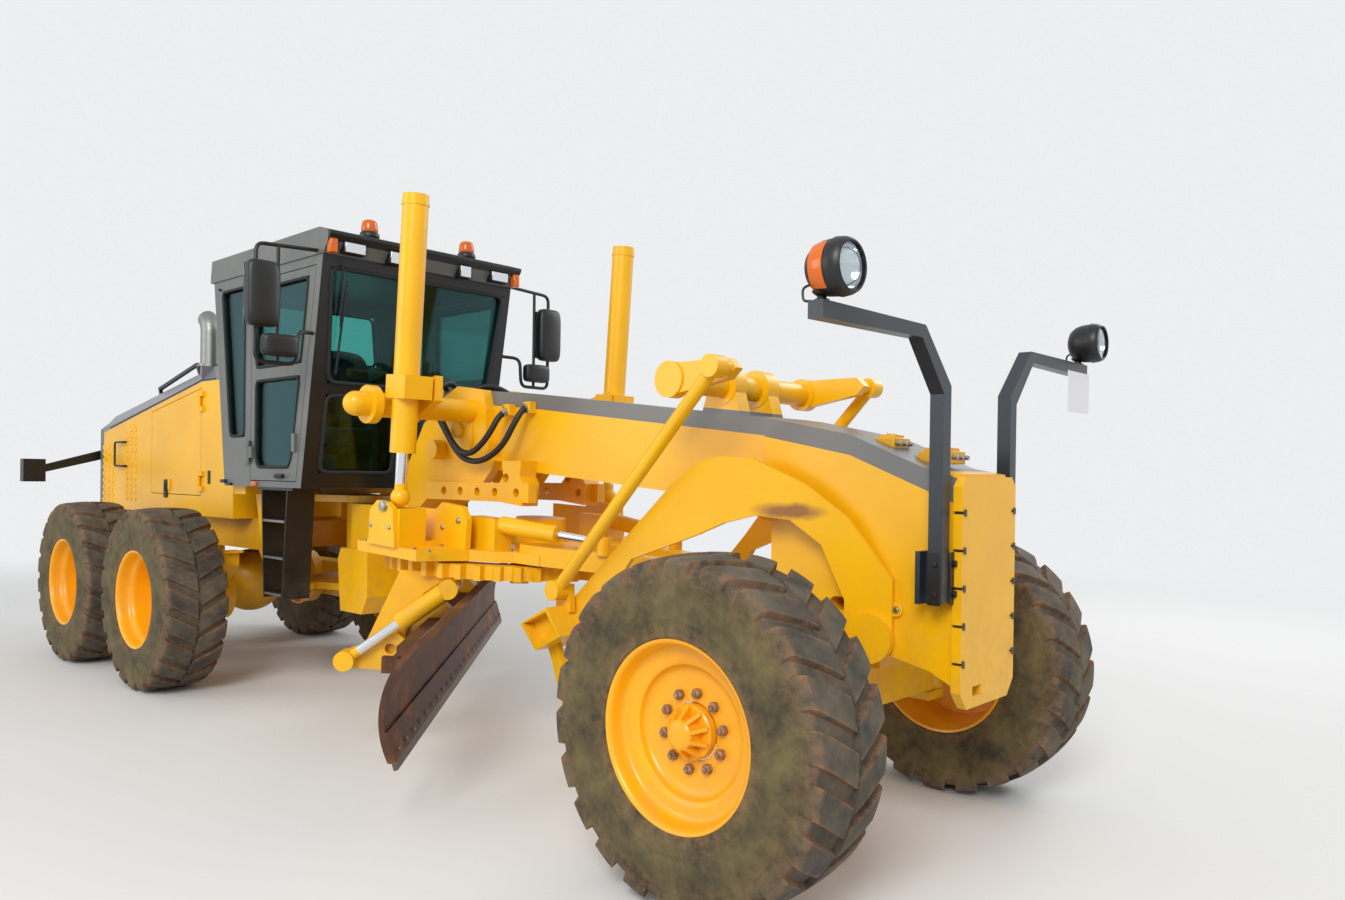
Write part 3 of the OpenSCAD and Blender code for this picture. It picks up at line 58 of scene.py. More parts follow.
# Pixels of the photo: its focal length, its width and the lens's shift
focal, picture_wide, shift_up = 987.3, 1345, 31.8
lens.lens = lens.sensor_width * focal / picture_wide
lens.shift_y = shift_up / picture_wide
lens.clip_end = 200
viewpoint = bpy.data.objects.new("viewpoint", lens)
viewpoint.matrix_world = Matrix((
    (side.x, top.x, -look.x, eye.x), (side.y, top.y, -look.y, eye.y),
    (side.z, top.z, -look.z, eye.z), (0, 0, 0, 1)))
scene.collection.objects.link(viewpoint)
scene.camera = viewpoint


# Studio
# A pale floor that runs off into a white world, a broad key lamp over the camera's right
# shoulder and a weak fill, so that paint shows about as it is written.
def linear(colour):
    """sRGB hex to linear RGBA: each channel is c / 12.92 below 0.04045, else ((c + 0.055) / 1.055) ** 2.4."""
    part = [int(colour[i:i + 2], 16) / 255 for i in (1, 3, 5)]
    return tuple(c / 12.92 if c <= 0.04045 else ((c + 0.055) / 1.055) ** 2.4 for c in part) + (1,)


def add(mat, kind, inputs=(), **settings):
    """Adds one shader node; settings are its properties, inputs its sockets' values or what feeds them.

    A node feeds by its first output, and a text is a hex colour."""
    made = mat.node_tree.nodes.new("ShaderNode" + kind)
    for key, value in settings.items():
        setattr(made, key, value)
    for key, value in dict(inputs).items():
        if isinstance(value, bpy.types.Node):
            value = value.outputs[0]
        elif isinstance(value, str):
            value = linear(value)
        if isinstance(value, bpy.types.NodeSocket):
            mat.node_tree.links.new(value, made.inputs[key])
        else:
            made.inputs[key].default_value = value
    return made


def finish_of(name):
    """A named material with an empty node tree."""
    mat = bpy.data.materials.new(name)
    mat.use_nodes = True
    mat.node_tree.nodes.clear()
    return mat


def own_place(mat):
    """The piece's own coordinates."""
    return add(mat, "TexCoord").outputs["Object"]


def mixed(mat, mask, one, other):
    """One colour where the mask is 0 and the other where it is 1."""
    return add(mat, "Mix", {0: mask, 6: one, 7: other}, data_type="RGBA").outputs[2]


def principled(mat, inputs):
    """Gives a material its one surface shader."""
    add(mat, "OutputMaterial", {0: add(mat, "BsdfPrincipled", inputs)})
    return mat


def noise(mat, scale, detail, rough=0.5):
    """A noise over the piece's own coordinates."""
    place = own_place(mat)
    return add(mat, "TexNoise", {"Vector": place, "Scale": scale, "Detail": detail, "Roughness": rough})


def toned(mat, value, *stops):
    """A colour ramp over a value; its stops are pairs of position and colour."""
    ramp = add(mat, "ValToRGB", {0: value})
    marks = ramp.color_ramp.elements
    for mark, (position, colour) in zip(marks, (stops[0], stops[-1])):
        mark.position, mark.color = position, linear(colour)
    for position, colour in stops[1:-1]:
        marks.new(position).color = linear(colour)
    return ramp


def surface(name, points, faces, mat, body, smooth=None):
    """A mesh that rides on a body; edges sharper than smooth degrees stay crisp."""
    mesh = bpy.data.meshes.new(name)
    mesh.from_pydata(np.asarray(points).reshape(-1, 3), [], list(faces))
    mesh.materials.append(mat)
    piece = bpy.data.objects.new(name, mesh)
    scene.collection.objects.link(piece)
    if smooth is not None:
        mesh.shade_smooth()
        mesh.set_sharp_from_angle(angle=math.radians(smooth))
    if body:
        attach(piece, body)
    return piece


scene.view_settings.view_transform = "Standard"
floor_finish = finish_of("studio_floor_vinyl")
shade = add(floor_finish, "BsdfPrincipled", {"Base Color": "#e4e4e2", "Roughness": 0.85})
# Past 6 m from the middle the floor thins out, and the white world shows through it
place = own_place(floor_finish)
radius = add(floor_finish, "VectorMath", {0: place}, operation="LENGTH")
thin = add(floor_finish, "MapRange", {0: radius.outputs["Value"], 1: 6, 2: 15},
    interpolation_type="SMOOTHSTEP")
gone = add(floor_finish, "BsdfTransparent")
fade = add(floor_finish, "MixShader", {0: thin, 1: shade, 2: gone})
add(floor_finish, "OutputMaterial", {0: fade})
reach = 60.0
corners = [(-reach, -reach, 0), (reach, -reach, 0), (reach, reach, 0), (-reach, reach, 0)]
floor = surface("studio_floor", corners, [(0, 1, 2, 3)], floor_finish, None)

world = bpy.data.worlds.new("studio_world")
scene.world = world
world.use_nodes = True
world.node_tree.nodes.clear()
# Bright where it is seen or mirrored, dimmer as a light
path = add(world, "LightPath").outputs
seen = add(world, "Math", {0: path["Is Camera Ray"], 1: path["Is Glossy Ray"]}, operation="MAXIMUM")
seen = add(world, "Math", {0: seen, 1: path["Is Transmission Ray"]}, operation="MAXIMUM")
strength = add(world, "Mix", {0: seen, 2: 0.62, 3: 0.95}, data_type="FLOAT")
sky = add(world, "Background", {0: "#f2f4f6", 1: strength})
add(world, "OutputWorld", {0: sky})

for name, place, aim, size, watts in (
        ("key", (9, -11, 9.5), (0.5, 0, 1.2), 6, 1500),
        ("fill", (-6, -12, 5), (-1, 0, 1.2), 7, 420),
        ("rim", (4, 11, 8), (0.5, 0, 1.2), 6, 500)):
    lamp = bpy.data.lights.new(name, "AREA")
    lamp.size = size
    lamp.energy = watts
    holder = bpy.data.objects.new(name, lamp)
    holder.location = place
    holder.rotation_euler = (Vector(aim) - Vector(place)).to_track_quat("-Z", "Y").to_euler()
    scene.collection.objects.link(holder)


# Painted panels
# Rolled steel plate sprayed with two-pack enamel. It has a faint orange peel, fades in
# patches, and carries road dust that thickens towards the ground.
def enamel(name, colour, faded, gloss=0.32, dust=0.55, dust_top=1.3):
    """Sprayed enamel: gloss is its roughness where clean, dust the share of dust at the ground."""
    mat = finish_of(name)
    place = own_place(mat)
    patches = noise(mat, 1.7, 5, 0.6)
    tint = add(mat, "MapRange", {0: patches, 1: 0.38, 2: 0.66})
    paint = mixed(mat, tint, colour, faded)
    height = add(mat, "SeparateXYZ", {0: place})
    low = add(mat, "MapRange", {0: height.outputs[2], 1: dust_top, 2: 0.2, 3: 0, 4: dust})
    grit = noise(mat, 9, 8, 0.7)
    cling = add(mat, "MapRange", {0: grit, 1: 0.42, 2: 0.72})
    dusty = add(mat, "Math", {0: low, 1: cling}, operation="MULTIPLY")
    dusted = mixed(mat, dusty, paint, "#8f7a5c")
    rough = add(mat, "MapRange", {0: dusty, 3: gloss, 4: 0.8})
    # Orange peel of about 3 mm
    peel = noise(mat, 330, 1)
    waves = add(mat, "Bump", {"Height": peel, "Strength": 0.06, "Distance": 0.0006})
    return principled(mat, {"Base Color": dusted, "Roughness": rough, "Normal": waves})


body_yellow = ("#f3b605", "#e9ac0c")
cab_greys = ("#5c5f5d", "#6a6b67")
yellow = enamel("machine_yellow_enamel", *body_yellow)
deep = enamel("rim_yellow_enamel", "#f8ae02", "#eda008", gloss=0.28, dust=0.35, dust_top=1.2)
grey = enamel("cab_grey_enamel", *cab_greys, gloss=0.4)
black = enamel("bracket_black_enamel", "#0d0e0f", "#17181a", gloss=0.38, dust=0.25)
iron = enamel("engine_grey_enamel", "#3b3d3c", "#4a4a48", gloss=0.5)


def coat(mat, *nodes):
    """Gives CAD nodes this material in place of the record's flat one."""
    for node in nodes:
        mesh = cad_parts[node].data
        mesh.materials.clear()
        mesh.materials.append(mat)


coat(yellow, "rear_chassis", "rear_axle", "tandem_cases", "engine_door_right", "engine_door_left",
    "nose_plate", "saddle", "front_axle", "drawbar", "circle", "blade_carrier", "tilt_barrel",
    "lift_barrel_right", "lift_barrel_left", "scarifier_shaft", "scarifier_rods", "knuckle_right",
    "knuckle_left", "tie_rod")
coat(grey, "cab_body", "cab_door_right", "cab_door_left", "rear_grille")
coat(black, "cab_steps", "rear_lamps", "hood_handrails", "control_console")
coat(iron, "engine_block")


# Bright steel
# Cylinder rods in hard chrome on ground steel: near mirror bright, with fine rings from
# the grinding wheel.
def bright(name, colour, rough):
    """A bare or plated metal whose roughness wavers about rough."""
    mat = finish_of(name)
    rings = noise(mat, 60, 4)
    streak = add(mat, "MapRange", {0: rings, 3: rough * 0.7, 4: rough * 1.5})
    return principled(mat, {"Base Color": colour, "Metallic": 1, "Roughness": streak})


chrome_look = ("#e2e4e6", 0.12)
chrome = bright("hard_chromed_rod", *chrome_look)
exhaust_steel = bright("aluminised_exhaust_steel", "#8d8c88", 0.42)
coat(exhaust_steel, "exhaust_stack")


# Blade steel
# The moldboard is bare rolled steel under old rust, scoured brighter where earth slides
# over its face.
blade_steel = finish_of("rusted_rolled_steel")
blotch = noise(blade_steel, 5, 9, 0.65)
rust = toned(blade_steel, blotch, (0.32, "#2b1a10"), (0.52, "#54321c"), (0.72, "#8a5630"))
rough = add(blade_steel, "MapRange", {0: blotch, 3: 0.45, 4: 0.8})
pits = noise(blade_steel, 90, 6)
dents = add(blade_steel, "Bump", {"Height": pits, "Strength": 0.25, "Distance": 0.002})
principled(blade_steel, {"Base Color": rust, "Metallic": 0.2, "Roughness": rough, "Normal": dents})
coat(blade_steel, "moldboard")


# Wheels
# Six 25-inch grader tyres with chevron traction lugs, worn round and dusted at the edges.
# The carcass is one moulding, so each tyre is one closed surface round its bead, walls
# and tread.
def quads(rows, cols, loop=False):
    """Faces of a grid whose rows wrap round: (i, j), (i, j + 1), (i + 1, j + 1), (i + 1, j).

    Its columns wrap too if loop is set."""
    i, j = np.meshgrid(np.arange(rows), np.arange(cols if loop else cols - 1), indexing="ij")
    i1, j1 = (i + 1) % rows, (j + 1) % cols
    return np.stack([i * cols + j, i * cols + j1, i1 * cols + j1, i1 * cols + j], -1).reshape(-1, 4)


def spread(mesh, name, values):
    """One number at each vertex, for the material to read."""
    mesh.attributes.new(name, "FLOAT", "POINT").data.foreach_set("value", np.asarray(values, "f").ravel())


tyre_r, lug_count, lug_slant = 0.665, 22, 0.17
shoulder_y, edge_wear, shoulder_wear = 0.203, 0.09, 0.018
sides = ((-1, "right"), (1, "left"))
wheels = {}
for row in ("front", "mid", "rear"):
    for turn, name in sides:
        wheel = row + "_" + name
        low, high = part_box("rim_" + wheel)
        hub = np.array([(low[0] + high[0]) / 2, 0, tyre_r])
        low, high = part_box("tyre_" + wheel)
        hub[1] = (low[1] + high[1]) / 2
        wheels[wheel] = (row, hub, turn)

# Half profile from the crown out: across, radius of the lug tops, radius of the groove floor
y = np.array([0, 0.005, 0.009, 0.03, 0.06, 0.09, 0.12, 0.15, 0.175, 0.19])
crown = np.stack([y, 0.664 - 0.013 * (y / 0.19) ** 2, y * 0.985, 0.64 - 0.018 * (y / 0.19) ** 2], 1)
shoulder = np.array([
    (0.201, 0.646, 0.194, 0.615), (0.208, 0.638, 0.199, 0.608), (0.2125, 0.626, 0.204, 0.601),
    (0.214, 0.61, 0.2085, 0.592), (0.2145, 0.594, 0.2115, 0.583), (0.214, 0.58, 0.213, 0.574)])
wall = np.array([
    (0.2135, 0.568), (0.2155, 0.565), (0.2157, 0.561), (0.215, 0.557), (0.218, 0.535), (0.2205, 0.505),
    (0.2215, 0.48), (0.2205, 0.45), (0.219, 0.437), (0.2205, 0.433), (0.2205, 0.428), (0.218, 0.424),
    (0.215, 0.405), (0.211, 0.385), (0.2085, 0.374), (0.2095, 0.37), (0.2085, 0.362), (0.203, 0.357),
    (0.193, 0.354), (0.185, 0.345)])
half = np.vstack([crown, shoulder, np.hstack([wall, wall])])
profile = np.vstack([half[::-1] * (-1, 1, -1, 1), half[1:]])
# Where the points of one lug and its groove lie, as shares of their pitch, and the lug's share
phase = np.array([0.015, 0.08, 0.145, 0.175, 0.25, 0.33, 0.41, 0.485, 0.515, 0.58, 0.645, 0.675, 0.75, 0.83,
    0.91, 0.985])
cut = 0.66
turns = ((np.arange(lug_count)[:, None] + phase) / lug_count).ravel()
step = np.tile(phase, lug_count)
across = profile[:, 0]
# The lugs of the two halves are half a pitch apart; a groove 12 mm wide parts them
half_step = np.where(across > 0, step[:, None], (step[:, None] + 0.5) % 1)
lug = (half_step < cut) & (np.abs(across) > 0.006)
edge = np.minimum(*[np.abs((half_step - e + 0.5) % 1 - 0.5) for e in (0, cut)])
to_tread = np.concatenate([np.zeros(len(wall)), np.linspace(0, 1, len(shoulder))])
in_tread = np.concatenate([to_tread, np.ones(2 * len(crown) - 1), to_tread[::-1]])
browned = np.clip(1 - edge / edge_wear, 0, 1) * in_tread[None]
browned = browned + np.clip(1 - np.abs(np.abs(across) - shoulder_y) / shoulder_wear, 0, 1)[None] * 0.7
angle = turns[:, None] * 2 * np.pi + lug_slant * np.minimum(np.abs(across), 0.22)[None] / 0.2

rubber = finish_of("dusty_tyre_rubber")
film = noise(rubber, 5.5, 9, 0.68)
wall_tone = toned(rubber, film, (0.36, "#362f1f"), (0.7, "#6c603a"))
tread_tone = toned(rubber, film, (0.35, "#37332e"), (0.72, "#6f6350"))
zone = add(rubber, "Attribute", attribute_name="tread")
tone = mixed(rubber, zone.outputs["Fac"], wall_tone, tread_tone)
worn = add(rubber, "Attribute", attribute_name="browned")
spots = noise(rubber, 22, 6, 0.7)
patch = add(rubber, "MapRange", {0: spots, 1: 0.36, 2: 0.66})
mask = add(rubber, "Math", {0: worn.outputs["Fac"], 1: patch}, operation="MULTIPLY")
earth = mixed(rubber, mask, tone, "#86603f")
grain = noise(rubber, 120, 5)
skin = add(rubber, "Bump", {"Height": grain, "Strength": 0.25, "Distance": 0.002})
principled(rubber, {"Base Color": earth, "Roughness": 0.82, "Normal": skin})

for wheel, (row, hub, turn) in wheels.items():
    reach_y = np.where(lug, profile[:, 0], profile[:, 2])
    radius = np.where(lug, profile[:, 1], profile[:, 3])
    points = hub + np.stack([radius * np.cos(angle), reach_y, radius * np.sin(angle)], -1)
    tyre = surface("tyre_skin_" + wheel, points, quads(len(turns), len(profile), loop=True), rubber,
        "wheel_" + wheel, smooth=38)
    spread(tyre.data, "tread", np.broadcast_to(in_tread, radius.shape))
    spread(tyre.data, "browned", browned)
    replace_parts(tyre, "tyre_" + wheel)

# The rims are pressed and rolled steel: a lip that holds the bead, a gutter that steps
# down to the disc, and a hub. The front discs lie near the face, the driven ones deep inside.
rim_back = [(-0.186, 0.34), (-0.198, 0.356), (-0.203, 0.354), (-0.2, 0.342), (-0.15, 0.322)]
rim_lip = [
    (0.17, 0.331), (0.19, 0.336), (0.1985, 0.342), (0.2025, 0.349), (0.203, 0.355), (0.1995, 0.3575),
    (0.195, 0.357), (0.187, 0.352), (0.184, 0.344), (0.12, 0.338), (-0.12, 0.338)]
front_rim = rim_back + [
    (0.06, 0.3), (0.062, 0.11), (0.082, 0.108), (0.083, 0.205), (0.085, 0.226), (0.092, 0.24),
    (0.102, 0.247), (0.118, 0.252), (0.124, 0.26), (0.127, 0.28), (0.129, 0.305), (0.133, 0.318),
    (0.142, 0.326)] + rim_lip
rear_rim = rim_back + [
    (-0.092, 0.316), (-0.092, 0.11), (-0.07, 0.108), (-0.069, 0.24), (-0.064, 0.268), (-0.05, 0.286),
    (-0.03, 0.294), (0.02, 0.298), (0.08, 0.3), (0.1, 0.303), (0.112, 0.312), (0.12, 0.322),
    (0.135, 0.328)] + rim_lip


def lathe(outline, base, axis, steps=96):
    """An outline of (reach, radius) carried round an axle.

    Each point is base + reach * axis + radius * (u cos a + v sin a)."""
    outline, axis = np.array(outline), np.array(axis, float)
    u = np.cross(axis, (0, 0, 1) if abs(axis[2]) < 0.9 else (1, 0, 0))
    u = u / np.linalg.norm(u)
    v = np.cross(axis, u)
    a = -np.arange(steps)[:, None, None] / steps * 2 * np.pi
    points = base + outline[None, :, :1] * axis + outline[None, :, 1:] * (u * np.cos(a) + v * np.sin(a))
    return points.reshape(-1, 3), quads(steps, len(outline), loop=True).tolist()


def fixture(name, parts, mat, body, slot, smooth=38):
    """One piece from several (points, faces)."""
    counts = np.cumsum([0] + [len(p) for p, f in parts])
    faces = [[v + int(n) for v in face] for (p, f), n in zip(parts, counts) for face in f]
    return surface(name, np.vstack([p for p, f in parts]), faces, mat, body, smooth)


def prism(outline, low, high):
    """A plate: an outline, counter-clockwise seen from its far side, carried from low to high offsets."""
    outline = np.asarray(outline, float)
    n = len(outline)
    sides = [[j, (j + 1) % n, n + (j + 1) % n, n + j] for j in range(n)]
    return np.vstack([outline + low, outline + high]), [list(range(n))[::-1], list(range(n, 2 * n))] + sides


disc_out = {"front": 0.083, "mid": -0.069, "rear": -0.069}
hub_cap = [(0, 0.001), (0, 0.104), (0.03, 0.103), (0.036, 0.096), (0.036, 0.06), (0.092, 0.057), (0.1, 0.05),
    (0.104, 0.034), (0.105, 0.001)]
for wheel, (row, hub, turn) in wheels.items():
    disc = disc_out[row]
    axle = np.array([0, turn, 0])
    shape = [lathe((front_rim if row == "front" else rear_rim)[::-1], hub, axle),
        lathe([(disc + a - 0.003, b) for a, b in hub_cap], hub, axle, 48)]
    # Ten ribs run from the hub's foot up to its cap
    for i in range(10):
        a = (i + 0.5) * math.pi / 5
        out_way = np.array([math.cos(a), 0, math.sin(a)])
        round_way = np.array([-math.sin(a), 0, math.cos(a)]) * turn
        rib = [hub + out_way * r + axle * (disc + d) for r, d in
            ((0.1, 0.03), (0.1, 0.04), (0.058, 0.09), (0.05, 0.09), (0.05, 0.03))]
        shape.append(prism(rib, -round_way * 0.007, round_way * 0.007))
    rim = fixture("rim_shell_" + wheel, shape, deep, "wheel_" + wheel, "rim_paint", 35)
    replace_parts(rim, "rim_" + wheel)

# Ten rusted wheel nuts on each disc
nut_rust = finish_of("rusted_wheel_nut_steel")
scale = noise(nut_rust, 70, 6)
tone = toned(nut_rust, scale, (0.35, "#77604c"), (0.7, "#b08a68"))
principled(nut_rust, {"Base Color": tone, "Metallic": 0.3, "Roughness": 0.65})
nut_circle, wheel_nuts = 0.145, 10
nut_shape = [(-0.004, 0.0005), (-0.004, 0.02), (0.021, 0.02), (0.025, 0.016), (0.025, 0.01), (0.033, 0.01),
    (0.034, 0.0005)]
for wheel, (row, hub, turn) in wheels.items():
    disc = disc_out[row]
    axle = np.array([0, turn, 0])
    middle = hub + axle * disc
    ring = [lathe(nut_shape, middle + nut_circle * np.array([math.cos(a), 0, math.sin(a)]), axle, 6)
        for a in np.arange(wheel_nuts) * 2 * math.pi / wheel_nuts + 0.2]
    fixture("wheel_nuts_" + wheel, ring, nut_rust, "wheel_" + wheel, "worn_steel", None)


# Cab glass
# Toughened safety glass with a light green-blue tint; it shows the dark cab behind it.
glass = finish_of("tinted_safety_glass")
clear = add(glass, "BsdfTransparent", {0: "#b4e3df"})
gloss = add(glass, "BsdfGlossy", {0: "#bccdd3", "Roughness": 0.03})
angle = add(glass, "Fresnel", {"IOR": 1.5})
lift = add(glass, "MapRange", {0: angle, 3: 0.01, 4: 0.8})
shade = add(glass, "MixShader", {0: lift, 1: clear, 2: gloss})
add(glass, "OutputMaterial", {0: shade})
coat(glass, "cab_glass", "door_glass_right", "door_glass_left")


# Beam stripe and hood top
# The beam's shoulders and the top of the hood are sprayed in a darker grey, with a
# straight edge that follows the top line of the sheet metal.
tandem_x, middle_y = -2.3225, 0.146


def at(x, y, z):
    """A place given in metres ahead of the tandem's centre, left of the middle and above the ground."""
    return np.array([x + tandem_x, y + middle_y, z])


def recoloured(mat, mask, colour):
    """Turns a painted material to another colour where the mask is 1."""
    base = next(node for node in mat.node_tree.nodes if node.type == "BSDF_PRINCIPLED").inputs["Base Color"]
    both = mixed(mat, mask, base.links[0].from_socket, colour)
    mat.node_tree.links.new(both, base)
    return mat


def banded(name, lines, drop, tall, colour="#6d6c69"):
    """The yellow enamel with a grey band from drop below the lowest of some straight lines.

    Each line is a pair of (x, z) points; the band is tall metres high."""
    mat = enamel(name, *body_yellow)
    split = add(mat, "SeparateXYZ", {0: own_place(mat)})
    level = None
    for (x0, z0), (x1, z1) in lines:
        slope = (z1 - z0) / (x1 - x0)
        middle = z0 - slope * (x0 + tandem_x) - drop + tall / 2
        line = add(mat, "Math", {0: split.outputs[0], 1: slope, 2: middle}, operation="MULTIPLY_ADD")
        level = line if level is None else add(mat, "Math", {0: level, 1: line}, operation="MINIMUM")
    inside = add(mat, "Math", {0: split.outputs[2], 1: level, 2: tall / 2}, operation="COMPARE")
    return recoloured(mat, inside, colour)


def parted(mat, side, edge, colour):
    """An enamel that turns to another colour past a plane; side is 0, 1 or 2 for x, y or z."""
    split = add(mat, "SeparateXYZ", {0: own_place(mat)})
    past = add(mat, "Math", {0: split.outputs[side], 1: edge}, operation="GREATER_THAN")
    return recoloured(mat, past, colour)


def shadow_painted(mat, centre, size, colour, ragged):
    """An enamel with one painted shadow: a dark patch inside an ellipsoid about centre, its edge broken by a
    noise.
    """
    place = own_place(mat)
    gap = add(mat, "VectorMath", {0: place, 1: tuple(centre)}, operation="SUBTRACT")
    share = add(mat, "VectorMath", {0: gap, 1: tuple(size)}, operation="DIVIDE")
    far = add(mat, "VectorMath", {0: share}, operation="LENGTH")
    crumble = noise(mat, 12, 6)
    shifted = add(mat, "Math", {0: crumble, 1: ragged, 2: far.outputs["Value"]}, operation="MULTIPLY_ADD")
    mask = add(mat, "MapRange", {0: shifted, 1: 1 + ragged * 0.5, 2: 0.45 + ragged * 0.5, 4: 0.85})
    return recoloured(mat, mask, colour)


# Painted shadow: a dark brown patch on the scarifier's yoke stands in for the shade along its crease
yoke_paint_with_shadow = enamel("yoke_enamel_painted_shadow", *body_yellow)
coat(shadow_painted(yoke_paint_with_shadow, at(5.93, -0.35, 1.468), (0.19, 0.2, 0.045), "#7d4a34", 0.7), "scarifier")
coat(enamel("lamp_arm_enamel", "#22282e", "#2c3339", gloss=0.34, dust=0.2), "lamp_arms")
beam_paint = banded("beam_enamel_two_tone", [((2.96, 2.06), (3.18, 2.15)), ((3.18, 2.15), (3.93, 2.09)),
    ((3.93, 2.09), (5.67, 1.9)), ((5.67, 1.9), (6.17, 1.805)), ((6.17, 1.805), (6.52, 1.665))], 0.088, 0.104)
hood_line = [((-1.74, 1.99), (0.31, 2.33)), ((0.31, 2.33), (1, 2.33))]
hood_paint = banded("hood_enamel_two_tone", hood_line, 0.012, 1, "#77767a")
coat(beam_paint, "main_frame")
coat(hood_paint, "hood")


# Lamps on the nose
# Two moulded black lamps on folded square tube: a bowl, a bezel that clips over its rim, a
# bright reflector under a clear lens, and an amber side light let into the outer flank.
def arc_of(low, high, steps):
    """Angles from low to high degrees."""
    return np.radians(np.linspace(low, high, steps))


def turned(outline, base, axis, turn, zero):
    """Part of a revolve with closed ends: (reach, radius) carried through the angles in turn from zero."""
    outline, axis, zero = np.array(outline), np.array(axis, float), np.array(zero, float)
    across = np.cross(axis, zero)
    a = np.asarray(turn)[:, None, None]
    spoke = zero * np.cos(a) + across * np.sin(a)
    points = base + outline[None, :, :1] * axis + outline[None, :, 1:] * spoke
    n, m = len(turn), len(outline)
    faces = [f[::-1] for f in quads(n, m, loop=True).tolist()[:(n - 1) * m]]
    return points.reshape(-1, 3), faces + [list(range(m)), list(range((n - 1) * m, n * m))[::-1]]


def tube(path, radius, around=12, closed=False):
    """A round bar along a path: rings of radius about each point, turned no more than the path turns."""
    path = np.array(path, float)
    n = len(path)
    ahead_of = np.roll(path, -1, 0) - np.roll(path, 1, 0) if closed else np.gradient(path, axis=0)
    ahead_of /= np.linalg.norm(ahead_of, axis=1)[:, None]
    side_of = np.cross(ahead_of[0], (0, 0, 1) if abs(ahead_of[0][2]) < 0.9 else (1, 0, 0))
    rings = []
    for place, way in zip(path, ahead_of):
        side_of = side_of - way * (side_of @ way)
        side_of /= np.linalg.norm(side_of)
        a = np.arange(around)[:, None] / around * 2 * np.pi
        rings.append(place + radius * (side_of * np.cos(a) + np.cross(way, side_of) * np.sin(a)))
    faces = quads(n, around, loop=True).tolist()
    faces = faces if closed else faces[:(n - 1) * around]
    if not closed:
        faces += [list(range(around))[::-1], list(range((n - 1) * around, n * around))]
    return np.vstack(rings), faces


def bent(corners, radius, steps=6, closed=False):
    """A path through corners, each rounded by a curve from radius before it to radius after it."""
    corners = [np.array(c, float) for c in corners]
    n, path = len(corners), []
    for i, here in enumerate(corners):
        if not closed and i in (0, n - 1):
            path.append(here)
            continue
        before, after = corners[i - 1], corners[(i + 1) % n]
        r = min(radius, 0.45 * np.linalg.norm(before - here), 0.45 * np.linalg.norm(after - here))
        a = here + (before - here) / np.linalg.norm(before - here) * r
        b = here + (after - here) / np.linalg.norm(after - here) * r
        for t in np.linspace(0, 1, steps):
            path.append((1 - t) ** 2 * a + 2 * t * (1 - t) * here + t * t * b)
    return path


def plain(name, colour, rough, **more):
    """A moulded or sprayed finish with a fine grain."""
    mat = finish_of(name)
    grain = noise(mat, 140, 4)
    tone = add(mat, "MapRange", {0: grain, 3: rough * 0.85, 4: rough * 1.15})
    return principled(mat, {"Base Color": colour, "Roughness": tone, **more})


plastic = plain("moulded_black_plastic", "#0e0f10", 0.42)
amber = plain("amber_lens_plastic", "#d0620a", 0.15)
lens_glass = plain("clear_lamp_glass", "#eef4f6", 0.05, **{"Transmission Weight": 0.9, "IOR": 1.3})
mirror_steel = bright("vacuum_coated_reflector", "#dfe3e6", 0.12)

pods, lenses, bowls, ambers = [], [], [], []
ahead = np.array([1.0, 0, 0])
for turn in (-1, 1):
    hub = at(6.64, turn * 1.15, 2.305)
    pods.append(lathe([(0.06, 0.0845), (0.06, 0.0935), (0.036, 0.094), (0.01, 0.0915), (-0.016, 0.083),
        (-0.038, 0.066), (-0.05, 0.042), (-0.055, 0.02), (-0.056, 0.0005), (-0.05, 0.0005), (-0.034, 0.06),
        (0.01, 0.084)][::-1], hub, ahead, 64))
    # Bezel over the bowl's rim
    pods.append(lathe([(0.052, 0.088), (0.054, 0.0965), (0.06, 0.098), (0.086, 0.095), (0.102, 0.089),
        (0.108, 0.082), (0.104, 0.0775), (0.094, 0.0785), (0.09, 0.086)], hub, ahead, 64))
    # Swivel neck, its nut and the lead's loop behind it
    foot = hub + (-0.012, 0, -0.1045)
    pods.append(lathe([(0, 0.0005), (0, 0.026), (0.006, 0.026), (0.008, 0.017), (0.016, 0.016), (0.026, 0.03),
        (0.034, 0.034), (0.036, 0.0005)], foot, (0, 0, 1), 24))
    loop = bent([foot + (-0.03, turn * 0.012, 0.002), foot + (-0.062, turn * 0.018, 0.004),
        foot + (-0.066, turn * 0.018, 0.05), foot + (-0.03, 0, 0.062)], 0.03, 8)
    pods.append(tube(loop, 0.0045, 8))
    bowls.append(lathe([(0.086, 0.0795), (0.064, 0.072), (0.044, 0.056), (0.03, 0.036), (0.026, 0.0005),
        (0.022, 0.0005), (0.026, 0.038), (0.04, 0.059), (0.062, 0.075), (0.084, 0.0815)], hub, ahead, 64))
    # Bulb shield in the reflector's middle
    bowls.append(lathe([(0.027, 0.0005), (0.027, 0.012), (0.052, 0.01), (0.058, 0.005), (0.059, 0.0005)],
        hub, ahead, 24))
    lenses.append(lathe([(0.09, 0.0005), (0.089, 0.04), (0.088, 0.078), (0.091, 0.0795), (0.099, 0.06),
        (0.104, 0.03), (0.105, 0.0005)], hub, ahead, 64))
    ambers.append(turned([(-0.012, 0.083), (-0.012, 0.088), (0.012, 0.0948), (0.036, 0.0968), (0.046, 0.096),
        (0.046, 0.092)], hub, ahead, arc_of(-52, 52, 25), (0, turn, 0)))

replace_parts(fixture("head_lamp_pods", pods, plastic, "front_frame", "black_plastic"), "head_lamps")
fixture("head_lamp_reflectors", bowls, mirror_steel, "front_frame", "rod_chrome")
fixture("head_lamp_lenses", lenses, lens_glass, "front_frame", "window_glass")
fixture("head_lamp_ambers", ambers, amber, "front_frame", "black_plastic")


